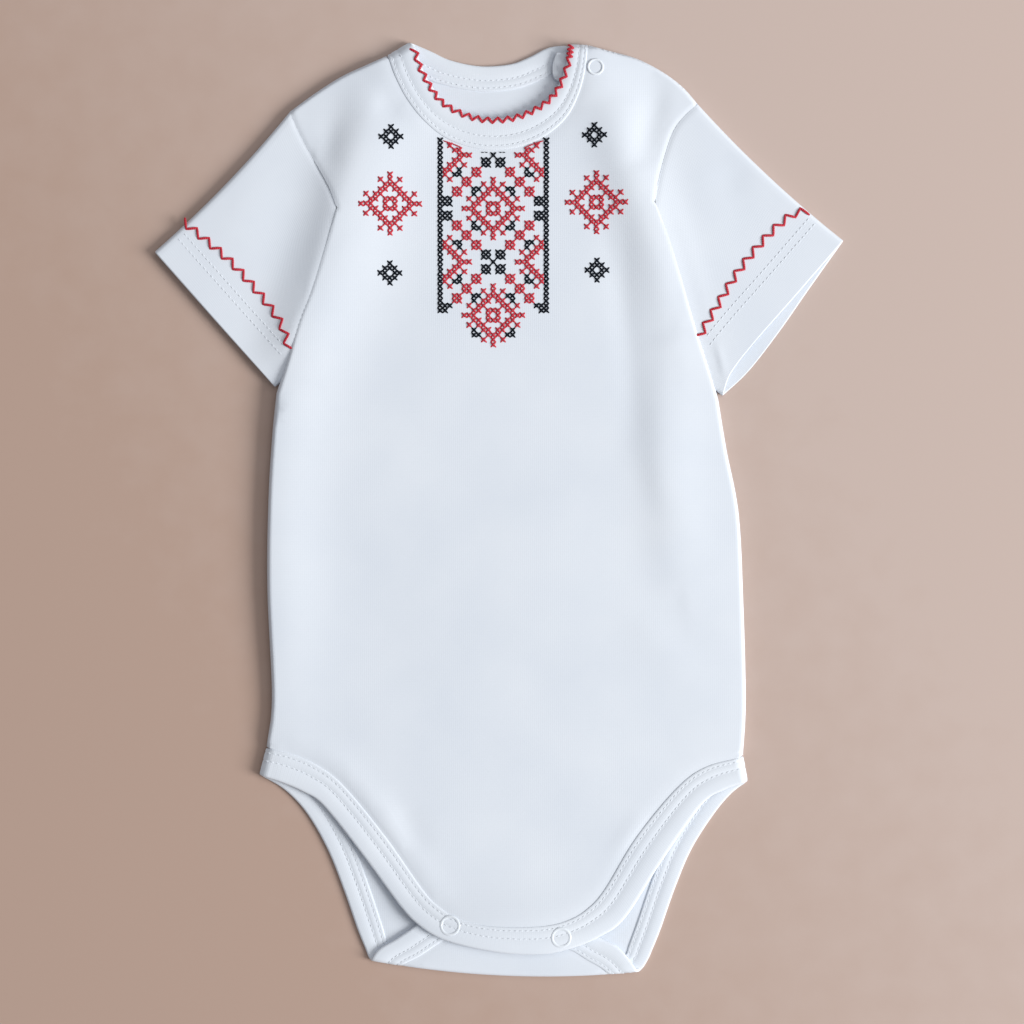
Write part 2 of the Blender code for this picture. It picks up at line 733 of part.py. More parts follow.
def sleeve_layer(line, side, upper):
    """Points across one layer, close together where it turns at its two edges."""
    total = lengths(line)[-1]
    first, last = sleeve_height(line[[0, -1]], side) / 2
    near = [first * share for share in TURN_SHARES]
    far = [total - last * share for share in reversed(TURN_SHARES)]
    wanted = np.array(near + list(np.linspace(near[-1], far[0], SLEEVE_SPANS + 1)[1:-1]) + far)
    plan = at_lengths(line, wanted)
    from_first = np.clip(wanted / first, 0, 1)
    from_last = np.clip((total - wanted) / last, 0, 1)
    rise = np.sqrt(1 - (1 - from_first) ** 2) * np.sqrt(1 - (1 - from_last) ** 2)
    edge_height = np.where(wanted < total / 2, first, last)
    if upper:
        height = edge_height + (sleeve_height(plan, side) - edge_height) * rise
        return np.column_stack([plan, height])
    return np.column_stack([plan, edge_height * (1 - rise)])[1:-1]


def inner_skin(outer, armhole):
    """The rings moved in by the wall, with the cut edge at the armhole kept in line with the seam."""
    along = np.gradient(outer, axis=0)
    around = 0.5 * (np.roll(outer, -1, axis=1) - np.roll(outer, 1, axis=1))
    normal = unit(np.cross(along, around))
    if (normal * (outer - outer.mean(axis=1, keepdims=True)))[..., 2].sum() < 0:
        normal = -normal
    inner = outer - WALL * normal
    seam_x = np.interp(outer[0][:, 1], armhole[::-1, 1], armhole[::-1, 0])
    seam = np.column_stack([seam_x, outer[0][:, 1]])
    across = np.hstack([nearest(seam, [armhole])[1], np.zeros((len(seam), 1))])
    lengthwise = unit(along[0])
    slide = WALL * (normal[0] * across).sum(axis=1) / (lengthwise * across).sum(axis=1)
    inner[0] += slide[:, None] * lengthwise
    return inner


def sleeve(side, look):
    """A flattened tube from the armhole to the hem, its wall between an outer and an inner skin."""
    upper = sleeve_lines(side, CUFF_FRONT[side])
    lower = sleeve_lines(side, CUFF_BACK[side])
    rings = []
    for top, bottom in zip(upper, lower):
        under = sleeve_layer(bottom, side, False)
        rings.append(np.vstack([sleeve_layer(top, side, True), under[::-1]]))
    outer = np.array(rings)
    inner = inner_skin(outer, ARMHOLES[side])
    count, around = outer.shape[:2]
    skin = count * around
    faces = []
    for i in range(count):
        for j in range(around):
            a = i * around + j
            b = i * around + (j + 1) % around
            if i < count - 1:
                faces.append((a, b, b + around, a + around))
                faces.append((a + skin + around, b + skin + around, b + skin, a + skin))
            if i == 0:
                faces.append((a + skin, b + skin, b, a))
            if i == count - 1:
                faces.append((a, b, b + skin, a + skin))
    points = np.vstack([outer.reshape(-1, 3), inner.reshape(-1, 3)])
    return add_mesh("sleeve_" + side, points, faces, look)


def level(value):
    """A binding stands this much out of its panel, everywhere."""
    return lambda plan: np.full(len(plan), value)


def neck_binding(look):
    stations = band_stations(NECK_FRONT_ROWS, NECK_STEP)
    front = band_rings(NECK_FRONT_ROWS, front_surface, level(BAND_PROUD), stations)
    stations = band_stations(NECK_BACK_ROWS, NECK_STEP)
    back = band_rings(NECK_BACK_ROWS, back_surface, level(0.0), stations)
    return tube("neck_binding", np.vstack([front, back]), look)


def front_leg_binding(look):
    stations = band_stations(FRONT_LEG_ROWS)
    rings = band_rings(FRONT_LEG_ROWS, front_surface, level(BAND_PROUD), stations)
    return tube("front_leg_binding", rings, look)


def back_leg_binding(look):
    rows = back_rows()
    stations = band_stations(rows, dense=FOLD_STRETCHES)
    rings = band_rings(rows, back_surface, lambda plan: BAND_PROUD * flap_share(plan), stations)
    return tube("back_leg_binding", rings, look)


def back_placket(look):
    outline = smooth(PLACKET_OUTLINE + PLACKET_OUTLINE[:1], 3.0)[:-1]
    low = np.column_stack([outline, np.full(len(outline), PLACKET_HEIGHT)])
    high = low + (0, 0, PLACKET_THICKNESS)
    return tube("back_placket", np.array([low, high]), look)


def snap_ring(name, x, y, z, outer, inner, height, look):
    """A turned ring with rounded shoulders, lying flat with its base at z."""
    width = outer - inner
    section = (  # radius, height
        (inner, 0.0),
        (outer, 0.0),
        (outer, 0.45 * height),
        (outer - 0.3 * width, height),
        (inner + 0.3 * width, height),
        (inner, 0.45 * height),
    )
    rings = []
    for i in range(SNAP_SIDES):
        angle = 2 * math.pi * i / SNAP_SIDES
        ring = [(x + r * math.cos(angle), y + r * math.sin(angle), z + h) for r, h in section]
        rings.append(ring)
    return tube(name, np.array(rings), look, capped=False)


def snap_core(name, x, y, low, high, radius, look):
    """The socket and stud, closed on each other between two layers."""
    middle = 0.5 * (low + high)
    stages = ((0.75, low), (1.0, low + 0.15), (1.0, middle), (0.8, high))
    rings = []
    for share, z in stages:
        ring = []
        for i in range(SNAP_SIDES):
            angle = 2 * math.pi * i / SNAP_SIDES
            ring.append((x + share * radius * math.cos(angle), y + share * radius * math.sin(angle), z))
        rings.append(ring)
    return tube(name, np.array(rings), look)


def snaps(look):
    """Each snap: a ring on the front, the closed socket and stud, and a ring behind the back layer."""
    for name, x, y, outer, inner in SNAPS:
        turns = np.linspace(0, 2 * math.pi, 9)
        spots = (x, y) + outer * np.stack([np.cos(turns), np.sin(turns)], axis=1)
        at_crotch = y < 0
        proud = BAND_PROUD if at_crotch else 0.0
        wall = BAND_THICKNESS if at_crotch else WALL
        top = front_surface(spots, np.full(9, proud))[:, 2].max()
        under_front = front_surface(spots, np.full(9, proud - wall))[:, 2].min()
        if at_crotch:
            on_back = 2 * FOLD_RADIUS + BAND_PROUD
            under_back = on_back - BAND_THICKNESS
        else:
            on_back = PLACKET_HEIGHT + PLACKET_THICKNESS
            under_back = PLACKET_HEIGHT
        snap_ring(name + "_cap", x, y, top + SEAM_GAP, outer, inner, SNAP_RING_HEIGHT, look)
        snap_core(name + "_core", x, y, on_back + SEAM_GAP, under_front - SEAM_GAP, inner, look)
        thin = min(SNAP_BACK_HEIGHT, under_back - WALL - 2 * SEAM_GAP)
        snap_ring(name + "_back", x, y, under_back - SEAM_GAP - thin, outer, inner, thin, look)


def main():
    clear_scene()
    knit = material("white_knit", (0.80, 0.83, 0.87), 0.85)
    rib = material("binding_knit", (0.82, 0.85, 0.89), 0.85)
    snap = material("snap_white", (0.88, 0.90, 0.91), 0.35)
    back_body(knit)
    front_body(knit)
    sleeve("left", knit)
    sleeve("right", knit)
    neck_binding(rib)
    back_placket(rib)
    front_leg_binding(rib)
    back_leg_binding(rib)
    snaps(snap)


main()
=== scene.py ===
# %% [markdown]
# # A baby's embroidered bodysuit, laid flat
# The object is a short-sleeved bodysuit of white cotton knit, with cross-stitch in red and black
# on its chest and a red zigzag on the neck and the sleeves. It lies on its back, so nearly all
# that shows is cloth a few millimetres over the floor. The lesson builds it the way it was sewn:
# the panels first, then the bindings, then the fastenings, and the thread last of all.
#
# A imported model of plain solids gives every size. Each piece made here stands in for one of those
# solids, so nothing has to be fitted by eye.

# %% Load the measured model
import math

import bpy
import numpy as np
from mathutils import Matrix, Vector
from mathutils.geometry import delaunay_2d_cdt


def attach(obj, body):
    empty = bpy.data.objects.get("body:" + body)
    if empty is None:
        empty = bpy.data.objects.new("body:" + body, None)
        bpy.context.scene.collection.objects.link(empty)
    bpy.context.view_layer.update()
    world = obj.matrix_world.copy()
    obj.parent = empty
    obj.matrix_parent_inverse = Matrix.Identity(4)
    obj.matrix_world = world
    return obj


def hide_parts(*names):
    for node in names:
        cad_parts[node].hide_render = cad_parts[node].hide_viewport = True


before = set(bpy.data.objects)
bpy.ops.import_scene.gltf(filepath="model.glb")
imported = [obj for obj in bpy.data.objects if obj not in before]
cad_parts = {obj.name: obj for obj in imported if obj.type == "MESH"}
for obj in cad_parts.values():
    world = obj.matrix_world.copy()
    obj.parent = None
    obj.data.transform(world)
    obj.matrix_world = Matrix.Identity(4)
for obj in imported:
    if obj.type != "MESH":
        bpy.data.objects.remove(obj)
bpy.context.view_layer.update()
MM = 0.001

# %% [markdown]
# ## Sizes in one place
# All sizes are in millimetres. +X is the viewer's right, +Y is towards the neck and +Z is up.
# A garment that lies flat is easiest to describe as a plan, as a pattern cutter would draw it,
# with a height over each point of the plan. So the tables below are outlines and seams on the
# plan, and the numbers before them say how thick and how high the cloth lies.

# %% Thicknesses and heights
SHELL = 0.8
BACK_SHELL = 1.4
SLEEVE_SHELL = 1.0
SEAM_LAP = 0.12
ARMHOLE_GAP = 0.06
BAND_THICKNESS = 1.8
BAND_PROUD = 0.1
FRONT_HEIGHT = 4.8
SLEEVE_HEIGHT = 4.4
TUCKED_HEIGHT = 4.05
TUCK_START = 1.0
TUCK_REACH = {"left": 4.4, "right": 9.0}
TUCK_AT_SEAM = 0.12
SEAM_END_REACH = 16.0
SIDE_FALL = 0.35
SIDE_FALL_REACH = 12.0
FRONT_RIM_RADIUS = 1.8
RIM_RADIUS_AT_SEAM = 0.4
ARMHOLE_BLEND = 14.0
BACK_RIM_RADIUS = 2.0
FOLD_RADIUS = 1.9
FOLD_MIDDLE_X = 22.0
FOLD_MIDDLE_Y = -222.7
FOLD_RISE = 0.0011
RIM_LIFT = 0.3
RIDE_STARTS = (54.0, 84.0)
RIDE_ENDS = (160.0, 185.0)
ON_LINE = 0.002
CURVE_STEPS = 12

# The measuring grid laid over the garment: millimetres in a step, its steps across, the plan's origin
MEASURE_MM = 0.48
MEASURE_STEPS = 1024
MEASURE_ORIGIN = (499.0, 509.5)

# %% [markdown]
# ## The plan: silhouette, seams and bindings
# On the real garment these lines are where the cutter cut and the machinist sewed. Each table is
# a short row of points that a smooth curve goes through. A binding is different: it has two long
# edges, the fold round the opening and the seam on the panel, so each of its rows gives a point
# on both. One could draw Bezier curves by hand instead, but rows of numbers are easier to check.

# %% Silhouette and seams
# Height of the front's rim over the ground, along the garment
RIM_HEIGHTS = {  # y: height
    -240.0: 2.3,
    46.0: 2.3,
    62.0: 3.5,
    145.0: 4.4,
    166.0: 4.4,
    186.0: 2.3,
    240.0: 2.3,
}

# Silhouette and seams, viewer's left and right
SHOULDER = {
    "left": ((-54.3, 218.0), (-65.0, 213.2), (-76.0, 208.0), (-88.0, 200.4), (-100.4, 191.4)),
    "right": ((43.1, 223.2), (54.0, 220.2), (66.0, 216.8), (78.0, 210.7), (88.0, 203.3), (95.6, 194.8)),
}
ARMHOLE_SEEN = {
    "left": ((-100.4, 191.4), (-95.5, 179.8), (-86.2, 163.0), (-81.1, 153.4), (-77.8, 144.7)),
    "right": ((95.6, 194.8), (89.2, 189.2), (83.6, 181.6), (79.2, 168.9), (76.3, 157.0), (74.9, 147.6)),
}
ARMHOLE_HIDDEN = {
    "left": ((-79.0, 128.0), (-85.0, 104.0), (-91.0, 84.0), (-97.0, 70.0), (-100.0, 64.5)),
    "right": ((77.6, 128.0), (83.0, 106.0), (90.0, 82.0), (96.4, 66.0), (99.4, 60.5)),
}
OVERHANG = {
    "left": ((-77.8, 144.7), (-83.5, 124.6), (-89.8, 105.4), (-95.5, 91.0), (-101.6, 72.0), (-107.0, 55.6)),
    "right": ((74.9, 147.6), (82.1, 128.6), (87.8, 110.2), (95.0, 86.2), (101.3, 67.0), (105.4, 52.6)),
}
SIDE = {
    "left": ((-107.0, 55.6), (-109.0, 36.0), (-110.9, 4.0), (-111.4, -38.0), (-109.2, -90.0),
             (-111.7, -113.9)),
    "right": ((105.4, 52.6), (109.4, 28.6), (115.2, -2.0), (117.4, -44.0), (118.6, -92.0),
              (117.3, -117.9)),
}
CUFF_FRONT = {
    "left": ((-165.35, 124.1), (-136.5, 91.5), (-107.4, 59.0)),
    "right": ((165.35, 129.4), (140.6, 101.0), (122.0, 79.9), (111.0, 65.5), (107.2, 54.8)),
}
CUFF_BACK = {
    "left": ((-165.35, 124.1), (-136.5, 91.5), (-107.4, 59.0)),
    "right": ((165.35, 129.4), (148.3, 105.4), (134.9, 86.2), (120.0, 67.0), (107.2, 54.8)),
}
UPPER_EDGE_SAG = 2.0

# Bindings: the free edge and the seam edge of each section, on the ground plan
NECK_FRONT_ROWS = (  # free_x, free_y, seam_x, seam_y
    (33.8, 223.5, 42.7, 223.3),
    (32.2, 213.8, 41.6, 212.0),
    (28.2, 203.4, 38.4, 199.5),
    (22.7, 196.5, 32.0, 187.6),
    (13.9, 191.2, 20.5, 178.2),
    (3.9, 188.2, 6.5, 173.3),
    (-7.3, 188.0, -9.0, 172.9),
    (-18.0, 191.0, -24.5, 177.6),
    (-27.1, 196.5, -36.0, 186.5),
    (-33.0, 204.6, -44.5, 197.2),
    (-37.4, 213.4, -50.0, 207.8),
    (-39.6, 220.4, -52.4, 214.4),
    (-42.7, 224.7, -53.8, 218.2),
)
NECK_BACK_ROWS = (  # free_x, free_y, seam_x, seam_y
    (-42.7, 224.7, -53.8, 218.2),
    (-33.1, 220.6, -40.5, 209.8),
    (-23.5, 216.2, -28.3, 204.5),
    (-9.0, 213.3, -9.5, 201.0),
    (5.5, 214.3, 8.5, 202.4),
    (14.9, 217.8, 20.0, 206.6),
    (25.4, 222.6, 29.5, 210.8),
    (41.6, 223.2, 41.6, 211.0),
)
FRONT_LEG_ROWS = (  # free_x, free_y, seam_x, seam_y
    (-115.2, -127.6, -111.9, -114.6),
    (-104.0, -131.2, -100.0, -117.2),
    (-94.0, -135.6, -87.5, -122.5),
    (-84.5, -142.0, -74.5, -132.6),
    (-66.2, -165.0, -54.7, -156.7),
    (-47.5, -190.3, -36.5, -182.5),
    (-37.9, -199.9, -28.5, -190.6),
    (-27.5, -206.0, -20.5, -195.6),
    (-12.0, -210.4, -8.5, -199.0),
    (5.5, -213.2, 6.0, -200.0),
    (22.0, -213.4, 22.5, -199.4),
    (35.5, -210.4, 33.5, -196.6),
    (48.0, -205.2, 42.0, -191.6),
    (60.5, -196.1, 50.5, -182.3),
    (78.0, -169.2, 65.5, -157.6),
    (97.0, -142.2, 84.5, -134.4),
    (108.0, -134.8, 98.5, -123.8),
    (119.5, -130.8, 117.4, -118.6),
)
BACK_LEG_ROWS = (  # free_x, free_y, seam_x, seam_y, True on the part folded over to the front
    (-115.2, -127.6, -111.9, -114.8, False),
    (-103.2, -134.8, -96.5, -124.6, False),
    (-92.5, -146.2, -82.6, -139.0, False),
    (-82.6, -163.4, -71.2, -158.6, False),
    (-74.9, -182.6, -63.4, -178.6, False),
    (-68.2, -201.8, -56.4, -199.4, False),
    (-64.3, -211.4, -52.6, -211.6, False),
    (-59.0, -212.4, -46.0, -219.0, True),
    (-49.5, -206.2, -38.0, -214.6, True),
    (-39.4, -199.4, -29.5, -208.9, True),
    (-31.0, -193.4, -23.0, -205.2, True),
    (-21.0, -192.9, -17.0, -204.6, True),
    (3.5, -195.6, 3.5, -207.6, True),
    (27.5, -198.4, 26.0, -210.2, True),
    (40.0, -200.6, 34.2, -211.8, True),
    (48.5, -205.7, 42.0, -216.4, True),
    (59.0, -211.9, 51.5, -222.4, True),
    (70.6, -218.4, 60.4, -214.8, False),
    (73.9, -211.4, 62.4, -209.4, False),
    (77.8, -201.8, 66.3, -198.8, False),
    (84.5, -182.6, 73.2, -178.6, False),
    (92.6, -163.4, 81.6, -158.2, False),
    (103.6, -146.2, 94.2, -138.4, False),
    (112.0, -136.4, 107.0, -125.6, False),
    (119.5, -130.8, 117.4, -118.6, False),
)
print("binding rows:", len(NECK_FRONT_ROWS), len(NECK_BACK_ROWS), len(FRONT_LEG_ROWS), len(BACK_LEG_ROWS))

# %% [markdown]
# ## Folds
# Knit laid by hand keeps a few soft folds. Here each is a line on the plan with a height and two
# widths, since a fold is often steep on one side and gentle on the other. Left and right are those
# of someone who walks along the line, and a height below zero is a valley. The crests are the high
# folds that lift the front and the sleeves together. A cloth simulation could drape the panels,
# but it would lose the folds that the real one shows, so they are placed.

# %% Folds of the front and the sleeves
CRESTS = (  # path, width on its left, width on its right, height
    (((-53.0, 206.0), (-59.5, 192.0), (-66.5, 171.0), (-71.5, 158.0), (-77.3, 139.0), (-83.0, 122.0),
      (-90.5, 104.0), (-96.5, 86.0), (-103.0, 60.0)), 26.0, 14.0, 4.0),
    (((-97.0, 86.0), (-103.0, 60.0), (-107.0, 30.0), (-109.0, -30.0), (-108.0, -100.0)), 20.0, 14.0, 2.3),
    (((52.0, 200.0), (56.6, 182.0), (64.2, 158.0), (73.0, 134.0), (78.6, 110.0), (83.0, 84.0)),
     15.0, 13.0, 3.0),
)
FRONT_FOLDS = (  # path, width on its left, width on its right, height
    (((83.0, 76.0), (79.5, 52.0), (79.5, 10.0), (86.0, -30.0)), 18.0, 11.0, 1.9),
    (((75.5, 203.0), (75.0, 188.0), (73.5, 172.0), (73.0, 158.0)), 6.0, 10.0, -1.4),
    (((52.0, 158.0), (55.1, 141.4), (59.6, 105.8), (62.8, 70.3), (64.5, 38.0)), 5.0, 7.0, -0.5),
    (((-78.0, 188.0), (-81.5, 179.0), (-84.5, 168.0), (-85.0, 154.0)), 6.0, 7.0, -0.9),
    (((-60.0, 196.0), (-46.0, 190.0)), 4.5, 6.0, -0.9),
    (((64.5, -51.5), (93.0, -80.3)), 8.0, 10.0, 0.4),
    (((-47.5, -142.0), (-38.0, -167.0)), 7.0, 6.0, -0.5),
)
SLEEVE_FOLDS = (  # path, width on its left, width on its right, height
    (((-112.0, 168.0), (-132.0, 128.0)), 16.0, 12.0, 0.4),
    (((-88.5, 160.0), (-89.5, 142.0), (-98.5, 111.0), (-107.0, 82.0), (-112.0, 64.0)), 9.0, 20.0, -0.9),
    (((108.0, 166.0), (114.0, 150.0)), 9.0, 9.0, -0.4),
    (((98.0, 170.0), (104.0, 120.0)), 12.0, 10.0, 0.3),
)
FRONT_SWELLS = (  # x, y, reach along x, reach along y, height
    (3.0, -203.0, 60.0, 17.0, 3.3),
    (40.5, 212.3, 14.0, 13.0, 1.2),
    (30.0, 222.0, 30.0, 18.0, 0.8),
)
SMALL_FOLDS = (  # path, width on its left, width on its right, height
    (((-62.0, 202.0), (-44.0, 194.0)), 4.0, 4.0, -0.5),
    (((66.0, 22.0), (81.0, -14.0)), 7.0, 7.0, -0.35),
    (((-96.0, -113.0), (-80.0, -121.0), (-66.0, -135.0), (-48.0, -158.0), (-30.0, -183.0)), 7.0, 3.5, 0.7),
    (((70.0, -146.0), (56.0, -164.0)), 3.0, 4.0, 0.35),
    (((-30.0, 120.0), (-34.0, 60.0)), 22.0, 22.0, 0.25),
    (((20.0, 20.0), (26.0, -60.0)), 26.0, 26.0, 0.25),
    (((-60.0, -20.0), (-52.0, -90.0)), 24.0, 24.0, -0.25),
)
CUFF_FOLDS = (  # path, width on its left, width on its right, height
    (((104.2, 78.0), (108.2, 65.0)), 1.6, 1.2, 0.5),
    (((100.5, 74.0), (106.5, 70.5)), 1.4, 1.4, -0.3),
)
print("folds:", len(CRESTS) + len(FRONT_FOLDS) + len(SLEEVE_FOLDS) + len(SMALL_FOLDS) + len(CUFF_FOLDS))

# %% [markdown]
# ## Curves on the plan
# Smooth curves through few points need a rule for what happens between them. A Catmull-Rom curve
# goes through every point, which suits outlines measured on a real thing. The other helpers
# measure along a path, move it sideways, and find how far a point lies from it.

# %% Curve helpers
FAR = 1e9


def through(points, steps):
    """Points of a smooth curve through the given ones, with the given number of steps in each span."""
    points = np.asarray(points, float)
    first = 2 * points[0] - points[1]
    last = 2 * points[-1] - points[-2]
    padded = np.vstack([first, points, last])
    t = np.linspace(0, 1, steps, endpoint=False)[:, None]
    spans = []
    for a, b, c, d in zip(padded, padded[1:], padded[2:], padded[3:]):
        spans.append(0.5 * (2 * b + (c - a) * t + (2 * a - 5 * b + 4 * c - d) * t**2
                            + (3 * b - a - 3 * c + d) * t**3))
    return np.vstack(spans + [points[-1:]])


def lengths(path):
    steps = np.linalg.norm(np.diff(path, axis=0), axis=1)
    return np.concatenate([[0.0], np.cumsum(steps)])


def at_lengths(path, wanted):
    """Points of a path at the given distances along it."""
    along = lengths(path)
    columns = [np.interp(wanted, along, path[:, k]) for k in range(path.shape[1])]
    return np.stack(columns, axis=1)


def smooth(points, step):
    """A smooth curve through the points, in even steps near the given one."""
    path = through(points, CURVE_STEPS)
    total = lengths(path)[-1]
    count = max(2, round(total / step) + 1)
    return at_lengths(path, np.linspace(0, total, count))


def shifted(path, distance):
    """The path moved to its left by a distance."""
    along = np.gradient(path, axis=0)
    along /= np.linalg.norm(along, axis=1)[:, None]
    left = np.stack([-along[:, 1], along[:, 0]], axis=1)
    return path + distance * left


def nearest(points, lines):
    """How far each point is from the lines, which way, how far along the nearest line and on which side."""
    best = np.full(len(points), FAR)
    away = np.zeros((len(points), 2))
    share = np.zeros(len(points))
    side = np.zeros(len(points))
    for line in lines:
        along = lengths(line)
        for i in range(len(line) - 1):
            start = line[i]
            run = line[i + 1] - start
            size = np.linalg.norm(run)
            t = np.clip(((points - start) @ run) / size**2, 0, 1)
            offset = points - (start + t[:, None] * run)
            distance = np.linalg.norm(offset, axis=1)
            normal = np.array([-run[1], run[0]]) / size
            closer = distance < best
            best[closer] = distance[closer]
            clear = distance > ON_LINE
            plain = np.where(clear[:, None], offset / np.maximum(distance, ON_LINE)[:, None], normal)
            away[closer] = plain[closer]
            share[closer] = ((along[i] + t * size) / along[-1])[closer]
            side[closer] = np.sign(offset @ normal)[closer]
    return best, away, share, side


def inside(points, outline):
    """True for each point that the closed outline holds."""
    x, y = points[:, 0], points[:, 1]
    found = np.zeros(len(points), bool)
    for a, b in zip(outline, np.roll(outline, -1, axis=0)):
        crosses = (a[1] > y) != (b[1] > y)
        if a[1] != b[1]:
            found ^= crosses & (x < (b[0] - a[0]) * (y - a[1]) / (b[1] - a[1]) + a[0])
    return found


def ramp(value, low, high):
    t = np.clip((value - low) / (high - low), 0, 1)
    return t * t * (3 - 2 * t)

# %% [markdown]
# ## The two surfaces
# Everything on the object lies on one of two surfaces. The front is a height over the plan that
# rounds down at the sides. The back lies on the floor, turns up at the sides, and folds over at
# the crotch, so its end lies on the front side. With these two functions any piece, however
# small, can be placed by its point on the plan and a distance out of the cloth.

# %% Front and back surface
SIDES = ("left", "right")
EDGE_STEP = 2.4
FOLD_CURVE_STEPS = 6
FADE_AT_ENDS = 0.25
FADE_POWER = 0.7
FADE_ENDS = (0.02, 0.98)
HEIGHT_STEP = 1.0
SLOPE_STEP = 1.2
FRONT_BOX = ((-126.0, -246.0), (126.0, 236.0))
ARMHOLES = {side: smooth(ARMHOLE_SEEN[side] + ARMHOLE_HIDDEN[side], 2.5) for side in SIDES}
SEEN_SEAMS = {side: smooth(ARMHOLE_SEEN[side], 1.6) for side in SIDES}
OVERHANGS = {side: smooth(OVERHANG[side], 2.4) for side in SIDES}
INSIDE_BODY = np.array([[0.0, 48.0], [0.0, 192.0]])
BODY_HALVES = {side: np.vstack([SEEN_SEAMS[side], OVERHANGS[side], INSIDE_BODY]) for side in SIDES}


def band_end(row):
    """The short side of a binding, from its seam edge to its free edge."""
    return np.array([row[2:4], row[0:2]], float)


def rims_of(table):
    """Each rim runs so that the cloth lies on its left. The panels' outlines use the same points."""
    return {"left": smooth(table["left"], EDGE_STEP), "right": smooth(table["right"], EDGE_STEP)[::-1]}


SHOULDER_RIMS = rims_of(SHOULDER)
SIDE_EDGES = rims_of(SIDE)
OVERHANG_RIMS = rims_of(OVERHANG)
SIDE_RIMS = [
    SHOULDER_RIMS["left"],
    SHOULDER_RIMS["right"],
    SIDE_EDGES["left"],
    SIDE_EDGES["right"],
    band_end(FRONT_LEG_ROWS[0]),
    band_end(FRONT_LEG_ROWS[-1])[::-1],
    band_end(NECK_FRONT_ROWS[-1])[::-1],
    band_end(NECK_FRONT_ROWS[0]),
]
FRONT_RIMS = SIDE_RIMS + [OVERHANG_RIMS["left"], OVERHANG_RIMS["right"]]
SEEN_SEAM_LINES = list(SEEN_SEAMS.values())


def fold_heights(points, folds):
    """The height that a table of folds adds at each point."""
    total = np.zeros(len(points))
    for path, left_width, right_width, height in folds:
        distance, _, share, side = nearest(points, [through(path, FOLD_CURVE_STEPS)])
        width = np.where(side > 0, left_width, right_width)
        swell = np.sin(np.pi * np.clip(share, *FADE_ENDS)) ** FADE_POWER
        fade = FADE_AT_ENDS + (1 - FADE_AT_ENDS) * swell
        total += height * fade * np.exp(-((distance / width) ** 2))
    return total


def crest(points):
    """The high folds that front and sleeves share."""
    return fold_heights(points, CRESTS)


def sleeve_base(points):
    return SLEEVE_HEIGHT + fold_heights(points, SLEEVE_FOLDS + CUFF_FOLDS)


def rim_height(points):
    """Height of the front's rim, which rides up with the crests only over the sleeves."""
    y = points[:, 1]
    rim = np.interp(y, list(RIM_HEIGHTS), list(RIM_HEIGHTS.values()))
    return rim + ramp(y, *RIDE_STARTS) * (1 - ramp(y, *RIDE_ENDS)) * crest(points)


def front_height(points):
    """Height of the front's outer face, before its rims come down."""
    height = FRONT_HEIGHT + fold_heights(points, FRONT_FOLDS + SMALL_FOLDS)
    for x, y, reach_x, reach_y, swell in FRONT_SWELLS:
        across = (points[:, 0] - x) / reach_x
        along = (points[:, 1] - y) / reach_y
        height += swell * np.exp(-(across**2) - along**2)
    rim_distance = nearest(points, FRONT_RIMS)[0]
    height -= SIDE_FALL * np.exp(-rim_distance / SIDE_FALL_REACH)
    seam_distance = nearest(points, SEEN_SEAM_LINES)[0]
    share = 1 - ramp(seam_distance, 0, ARMHOLE_BLEND)
    height += share * (sleeve_base(points) - height)
    return np.maximum(height + crest(points), rim_height(points) + RIM_LIFT)


def sampled(height_of, low, high, step):
    """The same heights, kept on a grid and blended between its points, which is far quicker."""
    xs, ys = np.arange(low[0], high[0], step), np.arange(low[1], high[1], step)
    places = np.stack(np.meshgrid(xs, ys, indexing="ij"), axis=-1).reshape(-1, 2)
    values = height_of(places).reshape(len(xs), len(ys))

    def quick(points):
        u = np.clip((points[:, 0] - low[0]) / step, 0, len(xs) - 1.001)
        v = np.clip((points[:, 1] - low[1]) / step, 0, len(ys) - 1.001)
        i, j = u.astype(int), v.astype(int)
        a, b = u - i, v - j
        lower = values[i, j] * (1 - a) + values[i + 1, j] * a
        upper = values[i, j + 1] * (1 - a) + values[i + 1, j + 1] * a
        return lower * (1 - b) + upper * b

    return quick


front_base = sampled(front_height, *FRONT_BOX, HEIGHT_STEP)


def slopes(height_of, points):
    right = height_of(points + (SLOPE_STEP, 0)) - height_of(points - (SLOPE_STEP, 0))
    up = height_of(points + (0, SLOPE_STEP)) - height_of(points - (0, SLOPE_STEP))
    return np.stack([-right, -up, np.full(len(points), 2 * SLOPE_STEP)], axis=1)


def unit(vectors):
    return vectors / np.linalg.norm(vectors, axis=-1, keepdims=True)


def from_seam_ends(points):
    """0 at the lower end of each seen armhole seam, where an overhang starts, and 1 well away."""
    ends = [np.linalg.norm(points - ARMHOLE_SEEN[side][-1], axis=1) for side in SIDES]
    return ramp(np.minimum(*ends), 0, SEAM_END_REACH)


def front_surface(points, offset):
    """The front's outer face over each plan point, moved out along its normal."""
    points = np.asarray(points, float)
    distance, away, _, _ = nearest(points, FRONT_RIMS)
    radius = RIM_RADIUS_AT_SEAM + (FRONT_RIM_RADIUS - RIM_RADIUS_AT_SEAM) * from_seam_ends(points)
    lean = np.clip(1 - distance / radius, 0, 1)
    lift = np.sqrt(1 - lean**2)
    rim = rim_height(points)
    height = rim + (front_base(points) - rim) * lift
    up = unit(slopes(front_base, points))
    outward = np.hstack([-away, np.zeros((len(points), 1))])
    normal = unit(up * lift[:, None] + outward * lean[:, None])
    return np.column_stack([points, height]) + normal * np.reshape(offset, (-1, 1))


def fold_line(x):
    """Where the back starts to turn over at the crotch."""
    return FOLD_MIDDLE_Y + FOLD_RISE * (x - FOLD_MIDDLE_X) ** 2


def past_fold(x, y):
    """Where a point of the part that is folded over lies on the back's flat pattern."""
    line = fold_line(x)
    return line - (y - line) - math.pi * FOLD_RADIUS


